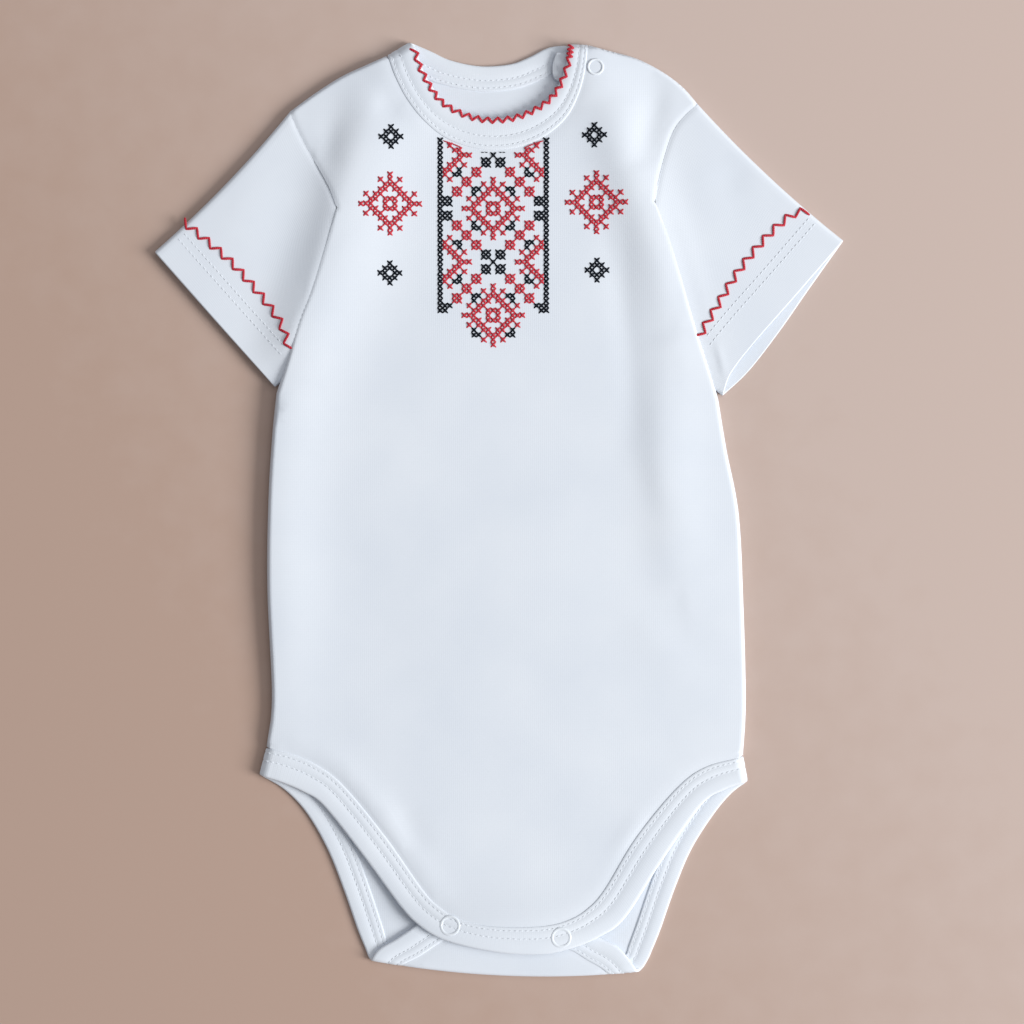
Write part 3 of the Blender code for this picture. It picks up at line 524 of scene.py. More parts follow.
def back_surface(points, offset):
    """The back's outer face over each point of its flat pattern, moved out along its normal."""
    points = np.asarray(points, float)
    distance, away, _, _ = nearest(points, SIDE_RIMS)
    lean = np.clip(1 - distance / BACK_RIM_RADIUS, 0, 1)
    lift = np.sqrt(1 - lean**2)
    outward = np.hstack([-away, np.zeros((len(points), 1))])
    normal = unit(np.array([0, 0, -1.0]) * lift[:, None] + outward * lean[:, None])
    place = np.column_stack([points, BACK_RIM_RADIUS * (1 - lift)])
    line = fold_line(points[:, 0])
    past = line - points[:, 1]
    turned = past > 0
    angle = np.clip(past / FOLD_RADIUS, 0, math.pi)
    beyond = np.maximum(past - math.pi * FOLD_RADIUS, 0)
    turned_place = np.stack([points[:, 0], line - FOLD_RADIUS * np.sin(angle) + beyond,
                             FOLD_RADIUS * (1 - np.cos(angle))], axis=1)
    turned_normal = np.stack([0 * angle, -np.sin(angle), -np.cos(angle)], axis=1)
    place[turned] = turned_place[turned]
    normal[turned] = turned_normal[turned]
    return place + normal * np.reshape(offset, (-1, 1))


def flap_share(points):
    """0 where the back lies on the ground, 1 where it is folded over."""
    return ramp(fold_line(points[:, 0]) - points[:, 1], 0, math.pi * FOLD_RADIUS)


test_spots = np.array([[0.0, 0.0], [67.5, 148.0], [-111.0, 0.0]])
print("front heights at three places:", np.round(front_surface(test_spots, 0.0)[:, 2], 2))

# %% [markdown]
# ## White cotton knit
# Interlock knit is smooth and matt. From near, fine upright ribs called wales show, and each is a
# column of small loops. Raising every loop would take millions of faces, so the wales are a bump,
# worked out from cloth coordinates in millimetres that every panel carries as its UV map. The same
# wave paints a little shade into the colour, darker in the valleys between wales. A gentle random
# change of tone over some centimetres keeps the white from looking like paint.

# %% Node helpers and the knit
TONE_ENDS = (0.25, 0.75)
SHEEN_ROUGHNESS = 0.4
WALE_PITCH = 0.95
COURSE_PITCH = 0.8
WALE_DEPTH = 0.012
KNIT_ROUGHNESS = 0.88
KNIT_SHEEN = 0.12
FUZZ_SCALE = 1500.0
KNIT_TONE_SCALE = 22.0
KNIT_TONE_DETAIL = 3.0
# painted shade: share of the wale wave added to the colour, darker in the valleys between wales
WALE_VALLEY_PAINTED_SHADE = 0.03
BAND_RIB_PITCH = 1.9
BAND_RIB_DEPTH = 0.25
BODY_DARK = (0.69, 0.745, 0.825)
BODY_LIGHT = (0.75, 0.80, 0.87)
BAND_LIGHT = (0.765, 0.815, 0.88)


def add_node(tree, kind, **settings):
    made = tree.nodes.new(kind)
    for key, value in settings.items():
        setattr(made, key, value)
    return made


def math_node(tree, operation, first, second=None):
    """A maths node. Each input is a number or another node's output."""
    made = add_node(tree, "ShaderNodeMath", operation=operation)
    for socket, value in zip(made.inputs, (first, second)):
        if value is None:
            continue
        if isinstance(value, (int, float)):
            socket.default_value = value
        else:
            tree.links.new(value, socket)
    return made.outputs[0]


def wave(tree, coordinate, pitch):
    """A wave of -1 to 1 that repeats after each pitch, in millimetres."""
    return math_node(tree, "SINE", math_node(tree, "MULTIPLY", coordinate, 2 * math.pi / pitch))


def noise(tree, scale, detail=2.0):
    made = add_node(tree, "ShaderNodeTexNoise")
    made.inputs["Scale"].default_value = scale
    made.inputs["Detail"].default_value = detail
    tree.links.new(add_node(tree, "ShaderNodeTexCoord").outputs["Object"], made.inputs["Vector"])
    return made.outputs[0]


def two_tones(tree, factor, dark, light):
    """A colour between two tones, by a factor from 0 to 1."""
    made = add_node(tree, "ShaderNodeValToRGB")
    for element, tone, place in zip(made.color_ramp.elements, (dark, light), TONE_ENDS):
        element.color = (*tone, 1.0)
        element.position = place
    tree.links.new(factor, made.inputs[0])
    return made.outputs[0]


def new_material(name, roughness, sheen=0.0, coat=0.0, shine=0.5):
    made = bpy.data.materials.new(name)
    made.use_nodes = True
    shader = made.node_tree.nodes["Principled BSDF"]
    shader.inputs["Roughness"].default_value = roughness
    shader.inputs["Sheen Weight"].default_value = sheen
    shader.inputs["Specular IOR Level"].default_value = shine
    shader.inputs["Sheen Roughness"].default_value = SHEEN_ROUGHNESS
    shader.inputs["Coat Weight"].default_value = coat
    return made, made.node_tree, shader


def bump(tree, shader, height, distance):
    made = add_node(tree, "ShaderNodeBump")
    made.inputs["Strength"].default_value = 1.0
    made.inputs["Distance"].default_value = distance
    tree.links.new(height, made.inputs["Height"])
    tree.links.new(made.outputs[0], shader.inputs["Normal"])


def cloth_coordinates(tree):
    """How far a point lies across and along the cloth, in millimetres."""
    source = add_node(tree, "ShaderNodeUVMap", uv_map="cloth")
    parts = add_node(tree, "ShaderNodeSeparateXYZ")
    tree.links.new(source.outputs[0], parts.inputs[0])
    return parts.outputs[0], parts.outputs[1]


def knit(name, dark, light, rib_depth):
    """Knit with fine wales, and broader ribs where rib_depth isn't 0."""
    made, tree, shader = new_material(name, KNIT_ROUGHNESS, sheen=KNIT_SHEEN)
    across, along = cloth_coordinates(tree)
    wales = wave(tree, across, WALE_PITCH)
    loops = wave(tree, along, COURSE_PITCH)
    fine = math_node(tree, "MULTIPLY", math_node(tree, "ADD", wales, loops), 0.5)
    ribs = math_node(tree, "MULTIPLY", wave(tree, across, BAND_RIB_PITCH), rib_depth)
    fuzz = noise(tree, FUZZ_SCALE)
    height = math_node(tree, "ADD", math_node(tree, "ADD", fine, ribs), fuzz)
    bump(tree, shader, height, WALE_DEPTH * MM)
    # painted shade: the wale wave darkens the colour in the valleys between wales, where shade falls
    painted_wale_shade = math_node(tree, "MULTIPLY", fine, WALE_VALLEY_PAINTED_SHADE)
    tone = math_node(tree, "ADD", noise(tree, KNIT_TONE_SCALE, KNIT_TONE_DETAIL), painted_wale_shade)
    tree.links.new(two_tones(tree, tone, dark, light), shader.inputs["Base Color"])
    return made


body_knit = knit("body_knit", BODY_DARK, BODY_LIGHT, 0.0)
binding_knit = knit("binding_knit", BODY_DARK, BAND_LIGHT, BAND_RIB_DEPTH)
print("knit:", body_knit.name, binding_knit.name)

# %% [markdown]
# ## Thread and enamel
# Embroidery floss is several plies twisted together, with a soft gloss. The plies are a slanted
# wave over each thread's own coordinates, a bump that also paints shade into the colour, darker in
# the grooves between plies. Sewing thread is the same but thin and white. The snaps
# are enamelled metal rings: smooth, white and glossy, with a trace of unevenness.

# %% Thread and enamel
PLY_DEPTH = 0.05
# painted shade: share of the ply wave added to the colour, darker in the grooves between plies
PLY_GROOVE_PAINTED_SHADE = 0.2
THREAD_TONE_SCALE = 260.0
THREADS = {  # name: darker tone, lighter tone, pitch of the plies, roughness, shine
    "red_thread": ((0.46, 0.018, 0.032), (0.58, 0.034, 0.06), 0.9, 0.6, 0.3),
    "black_thread": ((0.002, 0.004, 0.008), (0.005, 0.009, 0.017), 0.9, 0.6, 0.12),
    "white_thread": ((0.72, 0.77, 0.84), (0.78, 0.82, 0.88), 0.5, 0.8, 0.3),
}
ENAMEL_DARK = (0.72, 0.775, 0.84)
ENAMEL_LIGHT = (0.77, 0.82, 0.88)
ENAMEL_ROUGHNESS = 0.3
ENAMEL_COAT = 0.25
ENAMEL_RIPPLE = 0.01
ENAMEL_RIPPLE_SCALE = 900.0
ENAMEL_TONE_SCALE = 300.0


def thread(name, dark, light, ply_pitch, roughness, shine):
    made, tree, shader = new_material(name, roughness, shine=shine)
    along, around = cloth_coordinates(tree)
    slant = math_node(tree, "ADD", math_node(tree, "DIVIDE", along, ply_pitch), around)
    plies = math_node(tree, "SINE", math_node(tree, "MULTIPLY", slant, 2 * math.pi))
    bump(tree, shader, plies, PLY_DEPTH * MM)
    # painted shade: the ply wave darkens the colour in the grooves between plies, where shade falls
    painted_ply_shade = math_node(tree, "MULTIPLY", plies, PLY_GROOVE_PAINTED_SHADE)
    tone = math_node(tree, "ADD", noise(tree, THREAD_TONE_SCALE), painted_ply_shade)
    tree.links.new(two_tones(tree, tone, dark, light), shader.inputs["Base Color"])
    return made


def enamel(name):
    made, tree, shader = new_material(name, ENAMEL_ROUGHNESS, coat=ENAMEL_COAT)
    bump(tree, shader, noise(tree, ENAMEL_RIPPLE_SCALE), ENAMEL_RIPPLE * MM)
    tone = two_tones(tree, noise(tree, ENAMEL_TONE_SCALE), ENAMEL_DARK, ENAMEL_LIGHT)
    tree.links.new(tone, shader.inputs["Base Color"])
    return made


red_thread, black_thread, white_thread = [thread(name, *row) for name, row in THREADS.items()]
snap_enamel = enamel("snap_enamel")
print("threads:", red_thread.name, black_thread.name, white_thread.name)

# %% [markdown]
# ## From points to a piece
# Each piece is a mesh made from numpy arrays of points in millimetres, which is quick for
# thousands of points. The same helper scales it to metres, stores its cloth coordinates, shades
# it smooth, hangs it on the body it rides on, gives it its material and hides the plain
# solid it replaces.

# %% Piece maker
SHARP_ANGLE = 60.0


def make_piece(name, points, faces, corner_coordinates, look, slot_name, replaced=()):
    """A mesh piece. corner_coordinates has one cloth coordinate for each corner of each face."""
    mesh = bpy.data.meshes.new(name)
    mesh.from_pydata((points * MM).tolist(), [], faces)
    layer = mesh.uv_layers.new(name="cloth")
    layer.data.foreach_set("uv", np.asarray(corner_coordinates, np.float32).ravel())
    mesh.shade_smooth()
    mesh.set_sharp_from_angle(angle=math.radians(SHARP_ANGLE))
    mesh.materials.append(look)
    obj = bpy.data.objects.new(name, mesh)
    bpy.context.scene.collection.objects.link(obj)
    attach(obj, "root")
    if replaced:
        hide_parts(*replaced)
    return obj


def corners_of(faces, coordinates):
    """The cloth coordinates of each face's corners, from one for each point."""
    return coordinates[np.concatenate([np.asarray(face) for face in faces])]


def facing_out(points, faces):
    """The faces, turned over if they point inwards."""
    volume = 0.0
    for face in faces:
        a = points[face[0]]
        for b, c in zip(face[1:], face[2:]):
            volume += np.dot(a, np.cross(points[b], points[c]))
    return [tuple(face)[::-1] for face in faces] if volume < 0 else faces


def facing_out_with(points, quads, caps, corners):
    """Quads and caps facing out, and the quads' cloth coordinates in the same order."""
    solid = [tuple(face) for face in quads.tolist()] + caps
    turned = facing_out(points, solid)
    quad_corners = corners.reshape(-1, 4, 2)
    if turned is not solid:
        quad_corners = quad_corners[:, ::-1]
    cap_corners = np.zeros((sum(len(cap) for cap in caps), 2))
    return turned, np.vstack([quad_corners.reshape(-1, 2), cap_corners])


# %% [markdown]
# ## A panel's mesh
# A panel is cut from flat cloth, so its mesh starts flat too: an outline filled with triangles.
# Points crowd along rims and seams, where the cloth turns, and spread out where it is even. The
# flat mesh is then lifted twice, once for each face of the cloth, and the two are joined round
# the edge. A Solidify modifier would do nearly the same, but would cut across the round rims.

# %% Panel helpers
GRID_STEP = 3.4
SEARCH_CELL = 4.0
SAME_POINT = 1e-4


def grid_points(outline):
    """Points in a triangular grid over the outline's box."""
    low, high = outline.min(axis=0), outline.max(axis=0)
    found = []
    for i, y in enumerate(np.arange(low[1], high[1], GRID_STEP * math.sqrt(3) / 2)):
        xs = np.arange(low[0] + (i % 2) * GRID_STEP / 2, high[0], GRID_STEP)
        found.append(np.stack([xs, np.full(len(xs), y)], axis=1))
    return np.vstack(found)


def beside(lines, distances):
    """Rows of points at the given distances on both sides of each line."""
    rows = []
    for line in lines:
        total = lengths(line)[-1]
        even = at_lengths(line, np.linspace(0, total, max(2, round(total / EDGE_STEP))))
        for distance in distances:
            rows += [shifted(even, distance), shifted(even, -distance)]
    return np.vstack(rows)


def keep_apart(points, apart, taken):
    """Adds to the taken points those that have no taken one within a distance."""
    for point in points:
        column, row = int(point[0] // SEARCH_CELL), int(point[1] // SEARCH_CELL)
        near = []
        for i in (column - 1, column, column + 1):
            for j in (row - 1, row, row + 1):
                near += taken.get((i, j), [])
        if all(math.dist(point, other) > apart for other in near):
            taken.setdefault((column, row), []).append(point)


def triangulated(outline, *groups):
    """A flat mesh of an outline. Each group has its points, a distance to the edge and a spacing."""
    edge = np.vstack([outline, outline[:1]])
    taken = {}
    for points, near_outline, apart in groups:
        clear = inside(points, outline) & (nearest(points, [edge])[0] > near_outline)
        keep_apart(points[clear], apart, taken)
    inner = [point for cell in taken.values() for point in cell]
    flat = [Vector(p) for p in outline] + [Vector(p) for p in inner]
    loop = [(i, (i + 1) % len(outline)) for i in range(len(outline))]
    made = delaunay_2d_cdt(flat, loop, [], 1, SAME_POINT)
    return np.array([tuple(v) for v in made[0]]), [tuple(face) for face in made[2]]


def cloth_panel(name, flat, faces, lift, thickness, replaced):
    """A wall of cloth over a flat mesh. lift gives the place of each point at a distance out."""
    outer, inner = lift(0.0), lift(-thickness)
    count = len(flat)
    solid = [tuple(face) for face in faces] + [tuple(i + count for i in face[::-1]) for face in faces]
    sides = {}
    for face in faces:
        for a, b in zip(face, face[1:] + face[:1]):
            sides[(min(a, b), max(a, b))] = None if (min(a, b), max(a, b)) in sides else (a, b)
    for pair in sides.values():
        if pair:
            a, b = pair
            solid.append((b, a, a + count, b + count))
    points = np.vstack([outer, inner])
    solid = facing_out(points, solid)
    coordinates = corners_of(solid, np.vstack([flat, flat]))
    return make_piece(name, points, solid, coordinates, body_knit, "body_knit", replaced)


# %% [markdown]
# ## The front panel
# One piece of knit from the shoulders to the crotch. Where another piece is sewn to it, its edge
# rolls down a little into the seam, and that small valley is what makes a seam show in soft
# light. It is made by sinking the surface near each seam line.

# %% Front panel
BAND_SEAM_DIP = 0.24
BAND_SEAM_REACH = 2.3
ARMHOLE_DIP = 0.35
ARMHOLE_DIP_REACH = 1.1

# Rows of mesh points beside each kind of edge, and their least room to the outline and to each other
FRONT_RIM_ROWS = (0.5, 1.1, 1.8, 2.8)
FRONT_RIM_ROOM = (0.3, 0.5)
BAND_SEAM_ROWS = (0.8, 1.6, 2.6)
BAND_SEAM_ROOM = (0.35, 0.6)
ARMHOLE_ROWS = (0.6, 1.3, 2.1, 3.2)
ARMHOLE_ROOM = (0.35, 0.55)
FRONT_GRID_ROOM = (0.4 * GRID_STEP, 0.6 * GRID_STEP)


def edge_of(rows, first_column, step):
    """One long edge of a binding as an even path."""
    return smooth([row[first_column:first_column + 2] for row in rows], step)


NECK_SEAM = edge_of(NECK_FRONT_ROWS, 2, EDGE_STEP)
LEG_SEAM = edge_of(FRONT_LEG_ROWS, 2, EDGE_STEP)


def band_sink(points, seams):
    """How far a panel's edge sinks at the seams of its bindings."""
    return BAND_SEAM_DIP * np.exp(-(nearest(points, seams)[0] / BAND_SEAM_REACH) ** 2)


def armhole_sink(points, seams):
    return ARMHOLE_DIP * np.exp(-(nearest(points, seams)[0] / ARMHOLE_DIP_REACH) ** 2)


def front_outline():
    return np.vstack([
        shifted(NECK_SEAM, -SEAM_LAP)[1:-1],
        SHOULDER_RIMS["left"],
        SEEN_SEAMS["left"][1:],
        OVERHANG_RIMS["left"][1:],
        SIDE_EDGES["left"][1:],
        shifted(LEG_SEAM, -SEAM_LAP)[1:-1],
        SIDE_EDGES["right"],
        OVERHANG_RIMS["right"][1:],
        SEEN_SEAMS["right"][::-1][1:],
        SHOULDER_RIMS["right"][1:],
    ])


def front_panel():
    outline = front_outline()
    flat, faces = triangulated(
        outline,
        (beside(FRONT_RIMS, FRONT_RIM_ROWS), *FRONT_RIM_ROOM),
        (beside([NECK_SEAM, LEG_SEAM], BAND_SEAM_ROWS), *BAND_SEAM_ROOM),
        (beside(SEEN_SEAM_LINES, ARMHOLE_ROWS), *ARMHOLE_ROOM),
        (grid_points(outline), *FRONT_GRID_ROOM),
    )
    sink = band_sink(flat, [NECK_SEAM, LEG_SEAM]) + armhole_sink(flat, SEEN_SEAM_LINES)

    def lift(out):
        return front_surface(flat, out - sink)

    return cloth_panel("front_cloth", flat, faces, lift, SHELL, ("front_body",))


front_cloth = front_panel()
print("front panel faces:", len(front_cloth.data.polygons))

# %% [markdown]
# ## The back panel
# The back is cut like the front but longer at the crotch, and its end is folded over onto the
# front side. Its mesh is flat on the pattern, past the fold too, and the back surface bends it.
# Its upper face is what shows inside the neck and the legs.

# %% Back panel
def back_rows():
    """The back leg binding's rows on the back's flat pattern."""
    rows = []
    for free_x, free_y, seam_x, seam_y, folded in BACK_LEG_ROWS:
        if folded:
            free_y = past_fold(free_x, free_y)
            seam_y = past_fold(seam_x, seam_y)
        rows.append((free_x, free_y, seam_x, seam_y))
    return rows


BACK_NECK_SEAM = edge_of(NECK_BACK_ROWS, 2, EDGE_STEP)
BACK_LEG_SEAM = edge_of(back_rows(), 2, EDGE_STEP)
BACK_RIM_ROWS = (0.5, 1.2, 2.0)
BACK_GRID_ROOM = (0.4 * GRID_STEP, 1.5 * GRID_STEP)
FOLD_ROOM = (0.35, 0.5)
FOLD_SPAN = (-50.0, 66.0)
FOLD_ROWS = 9


def back_outline():
    return np.vstack([
        SHOULDER_RIMS["left"],
        ARMHOLES["left"][1:],
        SIDE_EDGES["left"],
        shifted(BACK_LEG_SEAM, -SEAM_LAP)[1:-1],
        SIDE_EDGES["right"],
        ARMHOLES["right"][::-1],
        SHOULDER_RIMS["right"][1:],
        BACK_NECK_SEAM[-1:] + (-SEAM_LAP, SEAM_LAP),
        shifted(BACK_NECK_SEAM[::-1], -SEAM_LAP)[1:-1],
    ])


def fold_points():
    """Rows along the fold, close enough together for a round turn."""
    across = np.arange(*FOLD_SPAN, EDGE_STEP)
    rows = []
    for share in np.linspace(0, 1, FOLD_ROWS):
        down = fold_line(across) - share * math.pi * FOLD_RADIUS
        rows.append(np.stack([across, down], axis=1))
    return np.vstack(rows)


def back_panel():
    outline = back_outline()
    flat, faces = triangulated(
        outline,
        (fold_points(), *FOLD_ROOM),
        (beside(SIDE_RIMS, BACK_RIM_ROWS), *BAND_SEAM_ROOM),
        (beside([BACK_NECK_SEAM, BACK_LEG_SEAM], BAND_SEAM_ROWS), *BAND_SEAM_ROOM),
        (grid_points(outline), *BACK_GRID_ROOM),
    )
    sink = band_sink(flat, [BACK_NECK_SEAM, BACK_LEG_SEAM])
    folded = flap_share(flat) > 0.5

    def lift(out):
        rolled = np.where(folded, out - sink, out)
        rolled = np.where(~folded & (out < 0), out + 0.5 * sink, rolled)
        return back_surface(flat, rolled)

    return cloth_panel("back_cloth", flat, faces, lift, BACK_SHELL, ("back_body",))


back_cloth = back_panel()
print("back panel faces:", len(back_cloth.data.polygons))

# %% [markdown]
# ## The sleeves
# Each sleeve is a short tube, pressed flat: an upper and a lower layer that turn into each other
# at the two edges. Its rings run from the armhole to the hem. Under the body its upper layer sinks,
# because the body's side lies over it. At the hem the cloth is turned in, so the edge is round.

# %% Sleeves
SLEEVE_SPANS = 46
TURN_SHARES = (0.0, 0.12, 0.3, 0.6, 1.0)
STATIONS = (  # shares of the way from the armhole to the hem
    (0.0, 0.006, 0.014, 0.024, 0.038, 0.055)
    + tuple(np.linspace(0.08, 0.97, 26))
    + (0.985, 0.995, 1.0)
)
HEM_ROUND = 0.35
SEAM_LINE_STEP = 2.0
ACROSS_POINTS = 120
EDGE_LEAN = 0.7
SLEEVE_BOXES = {"left": ((-172.0, 44.0), (-70.0, 202.0)), "right": ((68.0, 44.0), (172.0, 202.0))}


def sleeve_height(points, side):
    """Height of a sleeve's upper layer: lower where it goes under the front, and at its seam."""
    distance = nearest(points, [OVERHANGS[side]])[0]
    distance[inside(points, BODY_HALVES[side])] = 0
    tucked = 1 - ramp(distance, TUCK_START, TUCK_REACH[side])
    tucked *= TUCK_AT_SEAM + (1 - TUCK_AT_SEAM) * from_seam_ends(points)
    base = sleeve_base(points)
    dip = armhole_sink(points, [SEEN_SEAMS[side]])
    rides = ramp(points[:, 1], *RIDE_STARTS)
    return base + tucked * (TUCKED_HEIGHT - base) - dip * (1 - tucked) + rides * crest(points)


def sleeve_heights_of(side):
    return sampled(lambda points: sleeve_height(points, side), *SLEEVE_BOXES[side], HEIGHT_STEP)


SLEEVE_HEIGHTS = {side: sleeve_heights_of(side) for side in SIDES}


def sleeve_lines(side, cuff_points):
    """Lines across one layer of a sleeve, from its upper edge to its lower one, at each station."""
    outward = -1 if side == "left" else 1
    armhole = shifted(ARMHOLES[side], outward * ARMHOLE_GAP)
    cuff = smooth(cuff_points, SEAM_LINE_STEP)
    across = np.linspace(0, 1, ACROSS_POINTS)
    start = at_lengths(armhole, across * lengths(armhole)[-1])
    end = at_lengths(cuff, across * lengths(cuff)[-1])
    lines = []
    for share in STATIONS:
        sag = UPPER_EDGE_SAG * 4 * share * (1 - share) * (1 - across) ** 4
        inwards = np.stack([-outward * EDGE_LEAN * sag, -EDGE_LEAN * sag], axis=1)
        lines.append(start + share * (end - start) + inwards)
    return lines


def sleeve_layer(line, side, upper):
    """Points across one layer, close together where it turns at its two edges."""
    total = lengths(line)[-1]
    first, last = SLEEVE_HEIGHTS[side](line[[0, -1]]) / 2
    near = [first * share for share in TURN_SHARES]
    far = [total - last * share for share in reversed(TURN_SHARES)]
    wanted = np.array(near + list(np.linspace(near[-1], far[0], SLEEVE_SPANS + 1)[1:-1]) + far)
    plan = at_lengths(line, wanted)
    from_first = np.clip(wanted / first, 0, 1)
    from_last = np.clip((total - wanted) / last, 0, 1)
    rise = np.sqrt(1 - (1 - from_first) ** 2) * np.sqrt(1 - (1 - from_last) ** 2)
    edge_height = np.where(wanted < total / 2, first, last)
    if upper:
        height = edge_height + (SLEEVE_HEIGHTS[side](plan) - edge_height) * rise
        return np.column_stack([plan, height])
    return np.column_stack([plan, edge_height * (1 - rise)])[1:-1]


def inner_skin(outer, armhole):
    """The rings moved in by the cloth, with the cut edge at the armhole kept in line with the seam."""
    along = np.gradient(outer, axis=0)
    around = 0.5 * (np.roll(outer, -1, axis=1) - np.roll(outer, 1, axis=1))
    normal = unit(np.cross(along, around))
    if (normal * (outer - outer.mean(axis=1, keepdims=True)))[..., 2].sum() < 0:
        normal = -normal
    inner = outer - SLEEVE_SHELL * normal
    seam_x = np.interp(outer[0][:, 1], armhole[::-1, 1], armhole[::-1, 0])
    seam = np.column_stack([seam_x, outer[0][:, 1]])
    across = np.hstack([nearest(seam, [armhole])[1], np.zeros((len(seam), 1))])
    lengthwise = unit(along[0])
    slide = SLEEVE_SHELL * (normal[0] * across).sum(axis=1) / (lengthwise * across).sum(axis=1)
    inner[0] += np.clip(slide, -1, 1)[:, None] * lengthwise
    return inner


def grid_faces(rows, columns):
    """Four-sided faces over rows of points that close on themselves."""
    i, j = np.meshgrid(np.arange(rows - 1), np.arange(columns), indexing="ij")
    a = (i * columns + j).ravel()
    b = (i * columns + (j + 1) % columns).ravel()
    return np.stack([a, b, b + columns, a + columns], axis=1)


def end_caps(rows, columns):
    """One many-sided face for each end of such rows."""
    return [tuple(range(columns))[::-1], tuple((rows - 1) * columns + j for j in range(columns))]


def girth_of(ring):
    """Lengths round a ring to each of its points, and to its first one again."""
    return lengths(np.vstack([ring, ring[:1]]))


def ring_coordinates(along, around):
    """Cloth coordinates for the corners of grid_faces, across the row's closing gap too."""
    rows, columns = len(along), len(around) - 1
    i, j = np.meshgrid(np.arange(rows - 1), np.arange(columns), indexing="ij")
    i, j = i.ravel(), j.ravel()
    corners = [(j, i), (j + 1, i), (j + 1, i + 1), (j, i + 1)]
    return np.stack([np.stack([around[c], along[r]], axis=1) for c, r in corners], axis=1)


def sleeve(side):
    rings = []
    for top, bottom in zip(sleeve_lines(side, CUFF_FRONT[side]), sleeve_lines(side, CUFF_BACK[side])):
        under = sleeve_layer(bottom, side, False)
        rings.append(np.vstack([sleeve_layer(top, side, True), under[::-1]]))
    outer = np.array(rings)
    inner = inner_skin(outer, ARMHOLES[side])
    hem = 0.5 * (outer[-1] + inner[-1]) + HEM_ROUND * unit(outer[-1] - outer[-3])
    skins = np.concatenate([outer, hem[None], inner[::-1]])
    count, around = skins.shape[:2]
    length = lengths(skins[:, around // 4])
    cloth = ring_coordinates(length, girth_of(outer[len(outer) // 2]))
    cut_edge = []
    for j in range(around):
        k = (j + 1) % around
        cut_edge.append(((count - 1) * around + j, (count - 1) * around + k, k, j))
    points = skins.reshape(-1, 3)
    faces, corners = facing_out_with(points, grid_faces(count, around), cut_edge, cloth)
    return make_piece("sleeve_cloth_" + side, points, faces, corners, body_knit, "body_knit",
                      ("sleeve_" + side,))


sleeve_cloths = {side: sleeve(side) for side in SIDES}
print("sleeve faces:", [len(piece.data.polygons) for piece in sleeve_cloths.values()])

# %% [markdown]
# ## The bindings
# Each opening is bound with a strip of knit folded round its edge and sewn through with two
# needles. The fold makes a round edge, and the two rows of stitches pull in two shallow channels.
# So a binding is one section, with its round edges and channels, carried along rows of two points.

# %% Bindings
BAND_STEP = 2.2
LEAST_STEP = 0.3
NEEDLE_ROWS = (0.567, 0.858)
CHANNEL = 0.1
CHANNEL_HALF = 0.045
OUTER_HALF = (  # share of the width from the free edge, share of the thickness from the face
    (0.0, 0.5),
    (0.012, 0.26),
    (0.04, 0.08),
    (0.10, 0.0),
    (0.30, -0.02),
    (NEEDLE_ROWS[0] - CHANNEL_HALF, 0.0),
    (NEEDLE_ROWS[0], CHANNEL),
    (NEEDLE_ROWS[0] + CHANNEL_HALF, 0.0),
    (0.71, -0.02),
    (NEEDLE_ROWS[1] - CHANNEL_HALF, 0.0),
    (NEEDLE_ROWS[1], CHANNEL),
    (NEEDLE_ROWS[1] + CHANNEL_HALF, 0.0),
    (0.93, 0.02),
    (0.965, 0.06),
    (0.99, 0.13),
    (1.0, 0.5),
)
BAND_SECTION = OUTER_HALF + tuple((width, 1 - depth) for width, depth in OUTER_HALF[-2:0:-1])


def band_edges(rows):
    return through(np.array([row[:4] for row in rows], float), CURVE_STEPS)


def band_length(rows):
    edges = band_edges(rows)
    return lengths(0.5 * (edges[:, :2] + edges[:, 2:]))


def band_plan(rows, wanted, width_share):
    """Plan points of a binding at the given lengths along it and one share of its width."""
    edges = band_edges(rows)
    along = band_length(rows)
    at = np.stack([np.interp(wanted, along, edges[:, k]) for k in range(4)], axis=1)
    return at[:, :2] + width_share * (at[:, 2:] - at[:, :2])


def band_rings(rows, surface, proud, dense=()):
    wanted = even_steps(rows, dense)
    rings = []
    for width_share, depth_share in BAND_SECTION:
        plan = band_plan(rows, wanted, width_share)
        rings.append(surface(plan, proud(plan) - depth_share * BAND_THICKNESS))
    return np.stack(rings, axis=1)


def even_steps(rows, dense=()):
    """Lengths along a binding in even steps, closer in the dense stretches."""
    total = band_length(rows)[-1]
    wanted = set(np.round(np.linspace(0, total, round(total / BAND_STEP) + 1), 3))
    for low, high, close in dense:
        wanted |= set(np.round(np.arange(low * total, high * total, close), 3))
    kept = []
    for length in sorted(wanted):
        if not kept or length - kept[-1] > LEAST_STEP:
            kept.append(length)
    return np.array(kept)


def level(value):
    return lambda plan: np.full(len(plan), value)


def band_piece(name, rings, replaced):
    """A closed binding through its rings, with flat ends."""
    count, around = rings.shape[:2]
    cloth = ring_coordinates(lengths(rings.mean(axis=1)), girth_of(rings[count // 2]))[..., ::-1]
    points = rings.reshape(-1, 3)
    faces, corners = facing_out_with(points, grid_faces(count, around), end_caps(count, around), cloth)
    return make_piece(name, points, faces, corners, binding_knit, "binding_knit", replaced)


def on_flap(plan):
    """The back's binding stands out of the cloth only where the back is folded over."""
    return BAND_PROUD * flap_share(plan)


